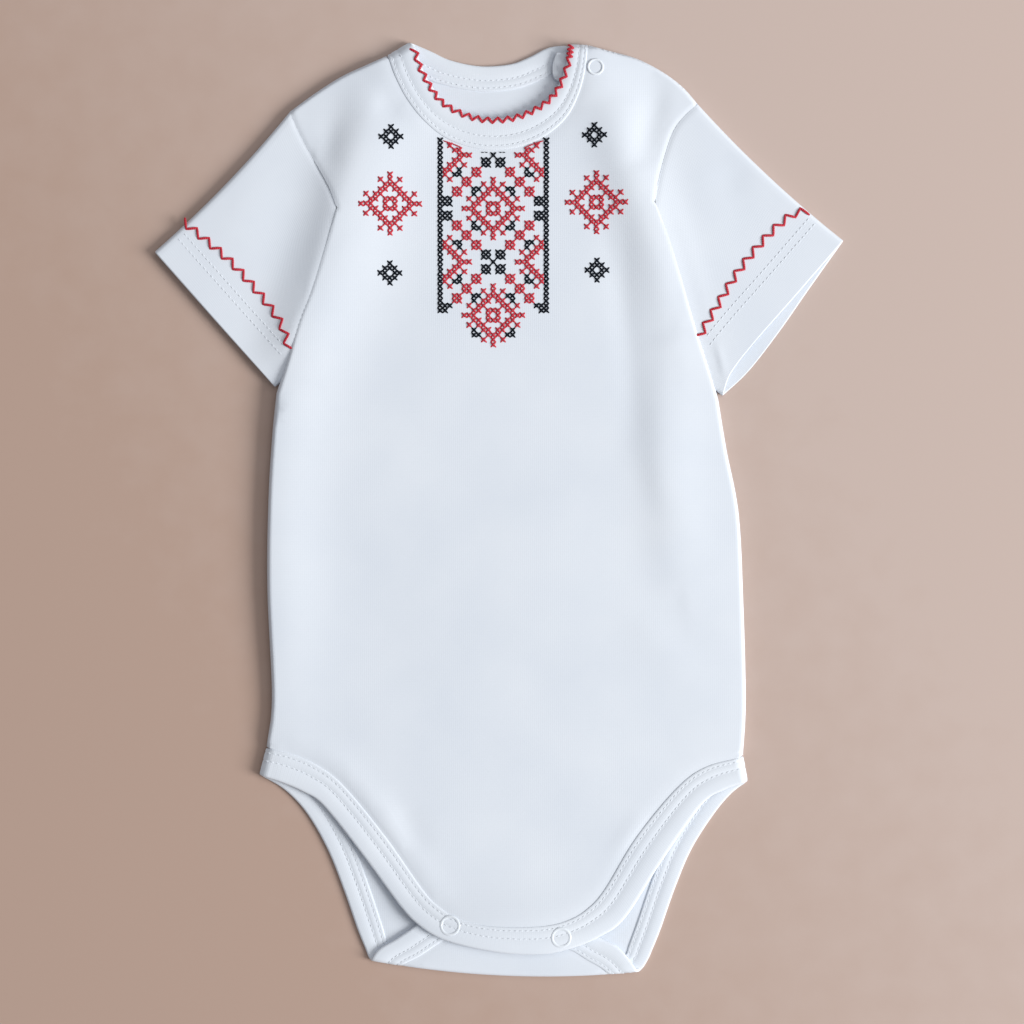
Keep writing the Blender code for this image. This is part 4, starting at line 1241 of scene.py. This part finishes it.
neck_front = band_rings(NECK_FRONT_ROWS, front_surface, level(BAND_PROUD))
neck_back = band_rings(NECK_BACK_ROWS, back_surface, level(0.0))
neck_band = band_piece("neck_band", np.vstack([neck_front, neck_back[1:]]), ("neck_binding",))
front_leg_rings = band_rings(FRONT_LEG_ROWS, front_surface, level(BAND_PROUD))
front_leg_band = band_piece("front_leg_band", front_leg_rings, ("front_leg_binding",))
BACK_ROWS = back_rows()
FOLD_STRETCHES = ((0.24, 0.34, 0.9), (0.60, 0.72, 0.9))  # from, to, step
back_leg_rings = band_rings(BACK_ROWS, back_surface, on_flap, FOLD_STRETCHES)
back_leg_band = band_piece("back_leg_band", back_leg_rings, ("back_leg_binding",))
BAND_LENGTHS = {
    "neck_band": band_length(NECK_FRONT_ROWS)[-1] + band_length(NECK_BACK_ROWS)[-1],
    "front_leg_band": band_length(FRONT_LEG_ROWS)[-1],
    "back_leg_band": band_length(BACK_ROWS)[-1],
}
print("binding lengths in mm:", {name: round(float(value)) for name, value in BAND_LENGTHS.items()})

# %% [markdown]
# ## The shoulder placket
# The back reaches a little under the front at the snapped shoulder. Inside the neck its edge shows
# as a strip with one rounded corner. It is a slab with soft edges, lofted through three outlines.

# %% Shoulder placket
PLACKET_SOFT = 0.35
PLACKET_HEIGHT = 2.9
PLACKET_THICKNESS = 1.0
PLACKET_STEP = 1.5
PLACKET_EDGE = ((0.0, 1), (0.3, 0), (0.7, 0), (1.0, 1))  # share of the thickness, 1 where moved in
PLACKET_OUTLINE = (
    (27.5, 219.6),
    (25.6, 213.0),
    (26.6, 207.0),
    (32.0, 205.2),
    (50.0, 202.6),
    (62.0, 201.6),
    (68.0, 204.0),
    (67.0, 211.0),
    (60.0, 214.6),
    (45.0, 218.6),
)


def placket():
    outline = smooth(PLACKET_OUTLINE + PLACKET_OUTLINE[:1], PLACKET_STEP)[:-1]
    inward = -PLACKET_SOFT * unit(outline - outline.mean(axis=0))
    rings = []
    for share, soft in PLACKET_EDGE:
        z = np.full(len(outline), PLACKET_HEIGHT + share * PLACKET_THICKNESS)
        rings.append(np.column_stack([outline + soft * inward, z]))
    faces = [tuple(face) for face in grid_faces(len(rings), len(outline)).tolist()]
    points = np.vstack(rings)
    solid = facing_out(points, faces + end_caps(len(rings), len(outline)))
    return make_piece("placket_strip", points, solid, corners_of(solid, points[:, :2]), binding_knit,
                      "binding_knit", ("back_placket",))


placket_strip = placket()
print("placket faces:", len(placket_strip.data.polygons))

# %% [markdown]
# ## The ring snaps
# A ring snap shows an enamelled ring with cloth inside it. A ring turned from a rounded profile is
# all there is to see, so it is made by turning that profile about the snap's own middle. The
# socket, the stud and the ring behind stay as the model's own solids and only get the enamel.

# %% Ring snaps
SNAPS = (  # name, x, y, outer radius, inner radius
    ("shoulder_snap", 46.3, 212.3, 4.0, 2.9),
    ("crotch_snap_left", -23.5, -199.4, 4.9, 3.6),
    ("crotch_snap_right", 29.8, -205.2, 4.9, 3.6),
)
SNAP_TURNS = 56
SNAP_HEIGHT = 0.3
SNAP_SUNK = 0.03
SNAP_PROFILE = (  # share of the ring's width from inside, share of its height
    (0.0, 0.0),
    (1.0, 0.0),
    (1.02, 0.35),
    (0.92, 0.72),
    (0.74, 0.95),
    (0.5, 1.0),
    (0.28, 0.92),
    (0.1, 0.66),
    (0.0, 0.3),
)


def snap_ring(name, x, y, outer, inner):
    """A turned ring that sits on the cloth and tilts with it, from the heights at four places."""
    around_ring = [(x + outer, y), (x - outer, y), (x, y + outer), (x, y - outer)]
    right, left, upper, lower = front_surface(around_ring, BAND_PROUD)[:, 2]
    base = (right + left + upper + lower) / 4 - SNAP_SUNK
    angles = np.linspace(0, 2 * math.pi, SNAP_TURNS, endpoint=False)
    tilt = 0.5 * (np.cos(angles) * (right - left) + np.sin(angles) * (upper - lower))
    shares = np.array(SNAP_PROFILE)
    radii = inner + shares[:, 0] * (outer - inner)
    rings = np.stack([
        x + np.outer(np.cos(angles), radii),
        y + np.outer(np.sin(angles), radii),
        base + shares[:, 1] * SNAP_HEIGHT + np.outer(tilt, radii / outer),
    ], axis=2)
    around = len(SNAP_PROFILE)
    quads = grid_faces(SNAP_TURNS + 1, around) % (SNAP_TURNS * around)
    along = np.linspace(0, 2 * math.pi * outer, SNAP_TURNS + 1)
    girth = np.linspace(0, 2 * (outer - inner), around + 1)
    points = rings.reshape(-1, 3)
    faces, corners = facing_out_with(points, quads, [], ring_coordinates(along, girth))
    return make_piece(name + "_ring", points, faces, corners, snap_enamel, "snap", (name + "_cap",))


snap_rings = [snap_ring(*row) for row in SNAPS]
for name, *_ in SNAPS:
    for part in ("_core", "_back"):
        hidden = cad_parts[name + part]
        hidden.data.materials.clear()
        hidden.data.materials.append(snap_enamel)
print("snap rings:", [ring.name for ring in snap_rings])

# %% [markdown]
# ## Lengths of thread
# Every stitch on the object is a short length of thread that comes out of the cloth, lies on it
# and goes back in. One helper makes them all: it takes the middle lines of many lengths at once,
# sweeps an oval section along each, and narrows and sinks the ends. Curves with a bevel would do
# for a few, but thousands of small tubes in one mesh are far quicker to make and to render.

# %% Thread maker
END_SHARES = (0.7, 1.0, 1.0, 1.0, 0.7)
THREAD_SIDES = 7


def thread_piece(name, middles, normals, width, thickness, look, slot_name):
    """Tubes along many short lines, all with the same number of points, in one mesh."""
    count, steps = middles.shape[:2]
    tangent = unit(np.gradient(middles, axis=1))
    side = unit(np.cross(tangent, normals))
    raised = unit(np.cross(side, tangent))
    share = np.interp(np.linspace(0, 1, steps), np.linspace(0, 1, len(END_SHARES)), END_SHARES)
    angles = np.linspace(0, 2 * math.pi, THREAD_SIDES, endpoint=False)
    half_width = 0.5 * width * share[None, :, None, None]
    half_height = 0.5 * thickness * share[None, :, None, None]
    ring = middles[:, :, None] + side[:, :, None] * np.cos(angles)[:, None] * half_width
    ring = ring + raised[:, :, None] * np.sin(angles)[:, None] * half_height
    points = ring.reshape(-1, 3)
    size = steps * THREAD_SIDES
    around = np.linspace(0, 1, THREAD_SIDES + 1)
    cloth = ring_coordinates(lengths(middles[0]), around)[..., ::-1]
    first_points = points[:size] - middles[0].mean(axis=0)
    quads, caps = grid_faces(steps, THREAD_SIDES), end_caps(steps, THREAD_SIDES)
    first, corners = facing_out_with(first_points, quads, caps, cloth)
    faces = [tuple(i + k * size for i in face) for k in range(count) for face in first]
    return make_piece(name, points, faces, np.tile(corners, (count, 1)), look, slot_name)


def laid_on(surface, starts, ends, heights, level_of=None):
    """Middle lines and normals of threads between plan points, at the given heights at each step."""
    t = np.linspace(0, 1, len(heights))[None, :, None]
    plan = starts[:, None] + t * (ends - starts)[:, None]
    flat = plan.reshape(-1, 2)
    base = np.zeros(len(flat)) if level_of is None else level_of(flat)
    ground = surface(flat, base)
    normal = unit(surface(flat, base + 1.0) - ground)
    rise = np.tile(heights, len(starts))[:, None]
    shape = (len(starts), len(heights), 3)
    return (ground + rise * normal).reshape(shape), normal.reshape(shape)


def joined(made):
    """Several results of laid_on as one."""
    return [np.concatenate(part) for part in zip(*made)]


# %% [markdown]
# ## The cross-stitch, charted
# Cross-stitch is counted: each cross fills one cell of an even grid, and the whole design is a
# repeat of a few small motifs. A rhombus with hooked corners stands at each crossing of a lattice,
# a four-block cross between them, and pairs of blocks link them. So the chart here is a set of
# rules for the motifs, in the way that a traditional pattern is passed on, rather than a picture.

# %% Motifs of the chart
CELL_X = 4.82 * MEASURE_MM
CELL_Y = 4.855 * MEASURE_MM
HALF_REPEAT = 11


def mirrored(cells):
    """The cells in all four quarters."""
    return {(i * a, j * b) for i, j in cells for a in (-1, 1) for b in (-1, 1)}


RHOMBUS_BAND = {(i, size - i) for size in (4, 5) for i in range(size + 1)}
RHOMBUS_HOOKS = {(0, 6), (6, 0), (2, 5), (5, 2)}
RHOMBUS_CORE = {(0, 1), (1, 0), (1, 1)}
RHOMBUS = mirrored(RHOMBUS_BAND | RHOMBUS_HOOKS | RHOMBUS_CORE)
OPEN_RHOMBUS = mirrored(RHOMBUS_BAND | RHOMBUS_HOOKS)
FOUR_BLOCKS = mirrored({(1, 1), (1, 2), (2, 1), (2, 2)}) | {(0, 0)}
LINK_CORNERS = ((3, 7), (5, 5), (7, 3))
LINK_BLOCKS = mirrored({(x + i, y + j) for x, y in LINK_CORNERS for i in (0, 1) for j in (0, 1)})
CORNER_SPRIG = mirrored({(4, 4), (3, 4), (4, 3)})
SMALL_DIAMOND = mirrored({(0, 2), (2, 0), (1, 1), (0, 1), (1, 0)})


def moved(cells, right, up):
    return {(i + right, j + up) for i, j in cells}


print("crosses in a rhombus:", len(RHOMBUS), "in a small diamond:", len(SMALL_DIAMOND))

# %% [markdown]
# ## The chest panel
# The chart's middle is the upper rhombus. Two black columns close the panel at the sides, the
# bound neck cuts its top, and its foot ends in the lower rhombus. The limits below say which cells
# of the endless lattice belong to the panel.

# %% Chest panel
PANEL_TOP = 14
COLUMN_FOOT = -21
LOWER_RHOMBUS = -2 * HALF_REPEAT
SLANT_TOP = 13.3
SLANT_FALL = 0.42
MIDDLE_HALF = 3
FOOT_HALF = 8
FOOT_POINT = 10


def under_neck(i, j):
    """True for a cell under the slanting top of the panel, which follows the neck."""
    slant = SLANT_TOP - SLANT_FALL * max(0, HALF_REPEAT - 2 - abs(i))
    return j <= slant or (abs(i) < MIDDLE_HALF and j <= HALF_REPEAT)


def below_foot(i, j):
    """True for a cell at either side of the lower rhombus, under the ends of the columns."""
    return abs(i) > FOOT_HALF and j < COLUMN_FOOT + abs(abs(i) - FOOT_POINT)


def chest_chart():
    red, black = set(), set()
    for up in (0, LOWER_RHOMBUS):
        red |= moved(RHOMBUS, 0, up)
        red |= {(i, j) for i, j in moved(LINK_BLOCKS, 0, up) if j > COLUMN_FOOT}
        black |= moved(CORNER_SPRIG, 0, up)
    for side in (-HALF_REPEAT, HALF_REPEAT):
        for up in (-HALF_REPEAT, HALF_REPEAT):
            red |= moved(OPEN_RHOMBUS, side, up)
            black |= moved(CORNER_SPRIG, side, up)
        for up in (0, LOWER_RHOMBUS):
            black |= moved(FOUR_BLOCKS, side, up)
    for up in (-HALF_REPEAT, HALF_REPEAT):
        black |= moved(FOUR_BLOCKS, 0, up)
    within = {cell for cell in red | black if abs(cell[0]) < HALF_REPEAT and under_neck(*cell)}
    within = {cell for cell in within if not below_foot(*cell)}
    columns = {(i, j) for i in (-HALF_REPEAT, HALF_REPEAT) for j in range(COLUMN_FOOT, PANEL_TOP + 1)}
    return red & within, (black & within) | columns


chest_red, chest_black = chest_chart()
print("chest crosses: red", len(chest_red), "black", len(chest_black))

# %% [markdown]
# ## Stitching the crosses
# A cross is two short threads, one over the other. The chart's cells become plan points, and the
# front surface lifts them, so the crosses follow every fold. A hand never pulls two stitches quite
# alike, so each end is moved a little, by a seeded random number so that each run is the same.

# %% Cross-stitch pieces
THREAD_WIDTH = 0.9
THREAD_DEPTH = 0.45
UNDER_THREAD = (-0.12, 0.17, 0.24, 0.17, -0.12)
OVER_THREAD = (-0.12, 0.30, 0.52, 0.30, -0.12)
CROSS_REACH = 0.56
UNEVEN = 0.07
SEED = 11
hand = np.random.default_rng(SEED)


def crosses(name, cells, middle, look, slot_name):
    """All crosses of one colour: both threads of each, over their cells round a middle."""
    spots = np.array([(middle[0] + i * CELL_X, middle[1] + j * CELL_Y) for i, j in sorted(cells)])
    reach = CROSS_REACH * np.array([CELL_X, CELL_Y])
    made = []
    for slant, heights in ((1, UNDER_THREAD), (-1, OVER_THREAD)):
        arm = reach * (1, slant)
        wobble = hand.normal(0, UNEVEN, (2, len(spots), 2))
        made.append(laid_on(front_surface, spots - arm + wobble[0], spots + arm + wobble[1], heights))
    return thread_piece(name, *joined(made), THREAD_WIDTH, THREAD_DEPTH, look, slot_name)


def from_grid(right, down):
    """The plan point, in millimetres, of a place in steps of the measuring grid from its corner."""
    return (right - MEASURE_ORIGIN[0]) * MEASURE_MM, (MEASURE_ORIGIN[1] - down) * MEASURE_MM


CHEST_MIDDLE = from_grid(493.3, 208.5)
SIDE_RHOMBI = (from_grid(390.3, 204.0), from_grid(596.5, 202.3))
SIDE_DIAMONDS = (
    from_grid(391.2, 137.0),
    from_grid(594.5, 135.0),
    from_grid(390.0, 273.0),
    from_grid(597.0, 270.0),
)

crosses("chest_crosses_red", chest_red, CHEST_MIDDLE, red_thread, "red_thread")
crosses("chest_crosses_black", chest_black, CHEST_MIDDLE, black_thread, "black_thread")
for index, spot in enumerate(SIDE_RHOMBI):
    crosses(f"side_rhombus_{index + 1}", RHOMBUS, spot, red_thread, "red_thread")
for index, spot in enumerate(SIDE_DIAMONDS):
    crosses(f"side_diamond_{index + 1}", SMALL_DIAMOND, spot, black_thread, "black_thread")
print("threads in the red chest piece:", 2 * len(chest_red))

# %% [markdown]
# ## The panel's top line and the thin links
# Where the neck cuts the design, a red thread runs along the slanting top on both sides, and a few
# short black stitches mark the middle. They are single threads laid from point to point.

# %% Single threads of the chest panel
TOP_THREAD = 0.6
FINE_THREAD = 0.42
FLATNESS = 0.7
LYING = (-0.08, 0.16, 0.2, 0.16, -0.08)
TOP_LINES = (((10.4, 13.95), (8.4, 13.3)), ((8.5, 13.35), (6.4, 12.45)))
TOP_DASHES = ((-2.45, -1.95), (-1.7, -1.2), (1.3, 1.75), (1.95, 2.45))
DASH_ROW = 11.55


def cell_point(i, j):
    return CHEST_MIDDLE[0] + i * CELL_X, CHEST_MIDDLE[1] + j * CELL_Y


def single_threads(name, pairs, width, look, slot_name):
    pairs = np.array(pairs, float)
    made = laid_on(front_surface, pairs[:, 0], pairs[:, 1], LYING)
    return thread_piece(name, *made, width, FLATNESS * width, look, slot_name)


top_lines = [[cell_point(way * i, j) for i, j in line] for way in (-1, 1) for line in TOP_LINES]
single_threads("chest_top_lines", top_lines, TOP_THREAD, red_thread, "red_thread")
top_dashes = [[cell_point(i, DASH_ROW) for i in dash] for dash in TOP_DASHES]
single_threads("chest_top_dashes", top_dashes, FINE_THREAD, black_thread, "black_thread")
print("single threads:", len(top_lines) + len(top_dashes))

# %% [markdown]
# ## The zigzags
# A decorative machine stitch runs along the neck's edge and round each sleeve. It is a line that
# turns back and forth across a middle path, so the corners come from the path, a pitch and a
# reach. On the neck one leg of each turn is longer, so the corners lean along the path.

# %% Zigzags
ZIGZAG_WIDTH = 1.25
ZIGZAG_DEPTH = 0.75
ZIGZAG_STEP = 0.5
ZIGZAG_LIE = (-0.05, 0.26, 0.3, 0.26, -0.05)
SLEEVE_PITCH = 7.35
SLEEVE_REACH = 1.85
NECK_PITCH = 5.7
NECK_REACH = 2.3
BEYOND_EDGE = 0.4
NECK_LEAN = 0.15
UPRIGHT_AT = 0.55
LEAN_SPAN = 40.0
KNOT_PITCH = 2.2
KNOT_LENGTH = 7.0
KNOT_REACH = 2.2
NECK_ENDS = (0.8, 3.0)
OVERSHOOT = 0.3
ZIGZAG_PATHS = {
    "left": ((-151.9, 138.4), (-140.8, 129.4), (-129.4, 119.5), (-120.0, 109.4), (-111.2, 98.8),
             (-104.1, 88.2), (-100.6, 76.5)),
    "right": ((148.6, 143.4), (140.3, 141.2), (128.4, 130.7), (115.1, 114.5), (103.6, 95.8),
              (95.8, 82.5)),
}


def sleeve_surface(side):
    """The sleeve's upper face over each plan point, moved out along its normal."""
    height = SLEEVE_HEIGHTS[side]

    def surface(points, offset):
        normal = unit(slopes(height, points))
        return np.column_stack([points, height(points)]) + normal * np.reshape(offset, (-1, 1))

    return surface


def zigzag(name, surface, corners, level_of=None):
    """A thread between each corner and the next, a little longer than the leg."""
    start, end = corners[:-1], corners[1:]
    beyond = OVERSHOOT * unit(end - start)
    made = laid_on(surface, start - beyond, end + beyond, ZIGZAG_LIE, level_of)
    return thread_piece(name, *made, ZIGZAG_WIDTH, ZIGZAG_DEPTH, red_thread, "red_thread")


def sleeve_zigzag(side):
    path = smooth(ZIGZAG_PATHS[side], ZIGZAG_STEP)
    total = lengths(path)[-1]
    count = round(2 * total / SLEEVE_PITCH)
    middle = at_lengths(path, np.linspace(0, total, count + 1))
    turn = np.where(np.arange(count + 1) % 2 == 0, 1, -1)[:, None]
    across = shifted(middle, SLEEVE_REACH) - middle
    return zigzag("sleeve_zigzag_" + side, sleeve_surface(side), middle + turn * across)


def neck_zigzag():
    total = band_length(NECK_FRONT_ROWS)[-1]
    wanted, reaches = [], []
    length = NECK_ENDS[0]
    while length < total - NECK_ENDS[1]:
        pitch, reach = (KNOT_PITCH, KNOT_REACH) if length < KNOT_LENGTH else (NECK_PITCH, NECK_REACH)
        lean = NECK_LEAN * min(1.0, abs(length - UPRIGHT_AT * total) / LEAN_SPAN)
        wanted += [length, length + (0.5 + lean) * pitch]
        reaches += [-BEYOND_EDGE, reach]
        length += pitch
    wanted = np.clip(wanted, NECK_ENDS[0], total - NECK_ENDS[1])
    free_edge = band_plan(NECK_FRONT_ROWS, wanted, 0.0)
    across = unit(band_plan(NECK_FRONT_ROWS, wanted, 1.0) - free_edge)
    corners = free_edge + np.array(reaches)[:, None] * across
    return zigzag("neck_zigzag", front_surface, corners, level(BAND_PROUD))


zigzags = [sleeve_zigzag(side) for side in SIDES] + [neck_zigzag()]
print("zigzags:", [piece.name for piece in zigzags])

# %% [markdown]
# ## The sewing
# Two needles sew each binding and each hem. Their stitches are white on white, so they show mostly
# by their small shadows and by the channel they pull. Each stitch is one short length of thread.
# On a binding they lie in its two channels, on both faces, as the machine leaves them.

# %% Topstitching
STITCH_LENGTH = 1.9
STITCH_PITCH = 2.6
SEWING_WIDTH = 0.5
SEWING_DEPTH = 0.34
SEWN = (-0.12, 0.08, 0.12, 0.08, -0.12)
NEEDLE_LINE_STEP = 0.8
ROW_MARGIN = 1.0
HEM_LINE_STEP = 1.0
HEM_SUNK = -0.07
HEM_ROWS = {"left": (12.4, 16.2), "right": (15.5, 19.3)}


def stitched(plan_line, surface, level_of=None, height=0.0):
    """One row of stitches along a line of plan points."""
    total = lengths(plan_line)[-1]
    first = np.arange(ROW_MARGIN, total - STITCH_LENGTH - ROW_MARGIN, STITCH_PITCH)
    starts, ends = at_lengths(plan_line, first), at_lengths(plan_line, first + STITCH_LENGTH)
    heights = tuple(height + lift for lift in SEWN)
    return laid_on(surface, starts, ends, heights, level_of)


def sewing(name, made):
    """Rows of stitches as one piece."""
    return thread_piece(name, *joined(made), SEWING_WIDTH, SEWING_DEPTH, white_thread, "white_thread")


def band_stitches(name, rows, surface, proud, faces):
    """Both needle rows of a binding, on its outer face, its inner face or both."""
    def inner(points, offset):
        return surface(points, -offset)

    def inner_level(points):
        return BAND_THICKNESS - proud(points)

    ways = {"outer": (surface, proud), "inner": (inner, inner_level)}
    along = np.arange(0, band_length(rows)[-1], NEEDLE_LINE_STEP)
    made = []
    for share in NEEDLE_ROWS:
        line = band_plan(rows, along, share)
        made += [stitched(line, *ways[face], -CHANNEL * BAND_THICKNESS) for face in faces]
    return sewing(name, made)


def hem_stitches(side):
    cuff = smooth(CUFF_FRONT[side], HEM_LINE_STEP)
    inward = 1 if side == "left" else -1
    made = []
    for distance in HEM_ROWS[side]:
        line = shifted(cuff, inward * distance)
        seen = line[~inside(line, BODY_HALVES[side])][2:-1]
        made.append(stitched(seen, sleeve_surface(side), height=HEM_SUNK))
    return sewing("hem_stitches_" + side, made)


band_stitches("neck_front_stitches", NECK_FRONT_ROWS, front_surface, level(BAND_PROUD), ("outer",))
band_stitches("neck_back_stitches", NECK_BACK_ROWS, back_surface, level(0.0), ("inner",))
band_stitches("front_leg_stitches", FRONT_LEG_ROWS, front_surface, level(BAND_PROUD), ("outer",))
band_stitches("back_leg_stitches", BACK_ROWS, back_surface, on_flap, ("outer", "inner"))
for hem_side in SIDES:
    hem_stitches(hem_side)
print("sewing done")

# %% [markdown]
# ## Floor, light and camera
# The garment lies on a pale tan surface, its colour painted lighter towards the right and the top and
# darker towards the lower left as light falls, over a random mottle. The light is soft and comes
# low from the right, so each fold has a bright side and a soft shadow on its left, as daylight
# from a window gives. The camera looks straight down from far enough that the few millimetres of
# height don't swell.

# %% Floor, light and camera
FLOOR_DROP = -0.02
FLOOR_HALF = 3.0
FLOOR_CORNERS = ((-1, -1), (1, -1), (1, 1), (-1, 1))
FLOOR_ROUGHNESS = 0.95
FLOOR_DARK = (0.462, 0.330, 0.270)
FLOOR_LIGHT = (0.557, 0.447, 0.401)
# painted light: how fast the floor colour grows lighter towards the right and the top
FLOOR_PAINTED_LIGHT_SLOPES = (1.4, 0.7)
FLOOR_MIDDLE = 0.4
MOTTLE_SCALE = 60.0
MOTTLE_DETAIL = 3.0
MOTTLE_SHARE = 0.2
LAMPS = (  # name, place, size, power, colour
    ("window_light", (4.9, -1.25, 2.7), 2.8, 410.0, (1.0, 0.99, 0.97)),
    ("ceiling_light", (1.0, 0.9, 2.2), 2.2, 13.0, (0.96, 0.98, 1.0)),
)
WORLD_COLOR = (0.97, 0.97, 1.0, 1.0)
WORLD_STRENGTH = 0.32
CAMERA_HEIGHT = 1.6
SENSOR_WIDTH = 36.0
VIEW_WIDTH = MEASURE_STEPS * MEASURE_MM * MM

floor_mesh = bpy.data.meshes.new("floor")
floor_points = [(x * FLOOR_HALF, y * FLOOR_HALF, FLOOR_DROP * MM) for x, y in FLOOR_CORNERS]
floor_mesh.from_pydata(floor_points, [], [(0, 1, 2, 3)])
floor = bpy.data.objects.new("floor", floor_mesh)
bpy.context.scene.collection.objects.link(floor)
floor_look, floor_tree, floor_shader = new_material("floor_paper", FLOOR_ROUGHNESS)
floor_place = add_node(floor_tree, "ShaderNodeSeparateXYZ")
floor_tree.links.new(add_node(floor_tree, "ShaderNodeTexCoord").outputs["Object"], floor_place.inputs[0])
# painted light: a slope of colour, lighter towards the right and the top; the mottle is the floor's own
# random tone
across, along = [math_node(floor_tree, "MULTIPLY", floor_place.outputs[k], FLOOR_PAINTED_LIGHT_SLOPES[k]) for k in (0, 1)]
painted_light_slope = math_node(floor_tree, "ADD", across, along)
mottle = math_node(floor_tree, "MULTIPLY", noise(floor_tree, MOTTLE_SCALE, MOTTLE_DETAIL), MOTTLE_SHARE)
floor_mottle_and_painted_light = math_node(floor_tree, "ADD", math_node(floor_tree, "ADD", painted_light_slope, mottle), FLOOR_MIDDLE)
floor_tone = two_tones(floor_tree, floor_mottle_and_painted_light, FLOOR_DARK, FLOOR_LIGHT)
floor_tree.links.new(floor_tone, floor_shader.inputs["Base Color"])
floor_mesh.materials.append(floor_look)


def area_light(name, place, size, power, color):
    """A round lamp that points at the garment's middle."""
    data = bpy.data.lights.new(name, "AREA")
    data.shape = "DISK"
    data.size = size
    data.energy = power
    data.color = color
    lamp = bpy.data.objects.new(name, data)
    lamp.location = place
    lamp.rotation_euler = (-Vector(place)).to_track_quat("-Z", "Y").to_euler()
    bpy.context.scene.collection.objects.link(lamp)


for lamp_row in LAMPS:
    area_light(*lamp_row)
world = bpy.data.worlds.new("studio")
world.use_nodes = True
world.node_tree.nodes["Background"].inputs["Color"].default_value = WORLD_COLOR
world.node_tree.nodes["Background"].inputs["Strength"].default_value = WORLD_STRENGTH
bpy.context.scene.world = world
bpy.context.scene.view_settings.view_transform = "Standard"

camera_data = bpy.data.cameras.new("camera")
camera_data.sensor_width = SENSOR_WIDTH
camera_data.lens = SENSOR_WIDTH * (CAMERA_HEIGHT - FRONT_HEIGHT * MM) / VIEW_WIDTH
camera = bpy.data.objects.new("camera", camera_data)
view_middle = from_grid(MEASURE_STEPS / 2, MEASURE_STEPS / 2)
camera.location = (view_middle[0] * MM, view_middle[1] * MM, CAMERA_HEIGHT)
bpy.context.scene.collection.objects.link(camera)
bpy.context.scene.camera = camera
print("lens:", round(camera_data.lens, 1))

# %% [markdown]
# ## What each sheet was cut to
# Cloth has a flat size before it is sewn, and a maker needs it. The panels lie flat, so their cut
# is their plan with its own area. The sleeves are stated all round, as tubes cut open. The
# bindings are stated as the folded strips that show.


def half_area(piece):
    """Half of a closed wall's surface, in square metres: one face of the cloth."""
    return 0.5 * sum(polygon.area for polygon in piece.data.polygons)


for piece in (front_cloth, back_cloth, *sleeve_cloths.values(), neck_band, front_leg_band, back_leg_band):
    print(piece.name, "one face in square metres:", round(half_area(piece), 4))
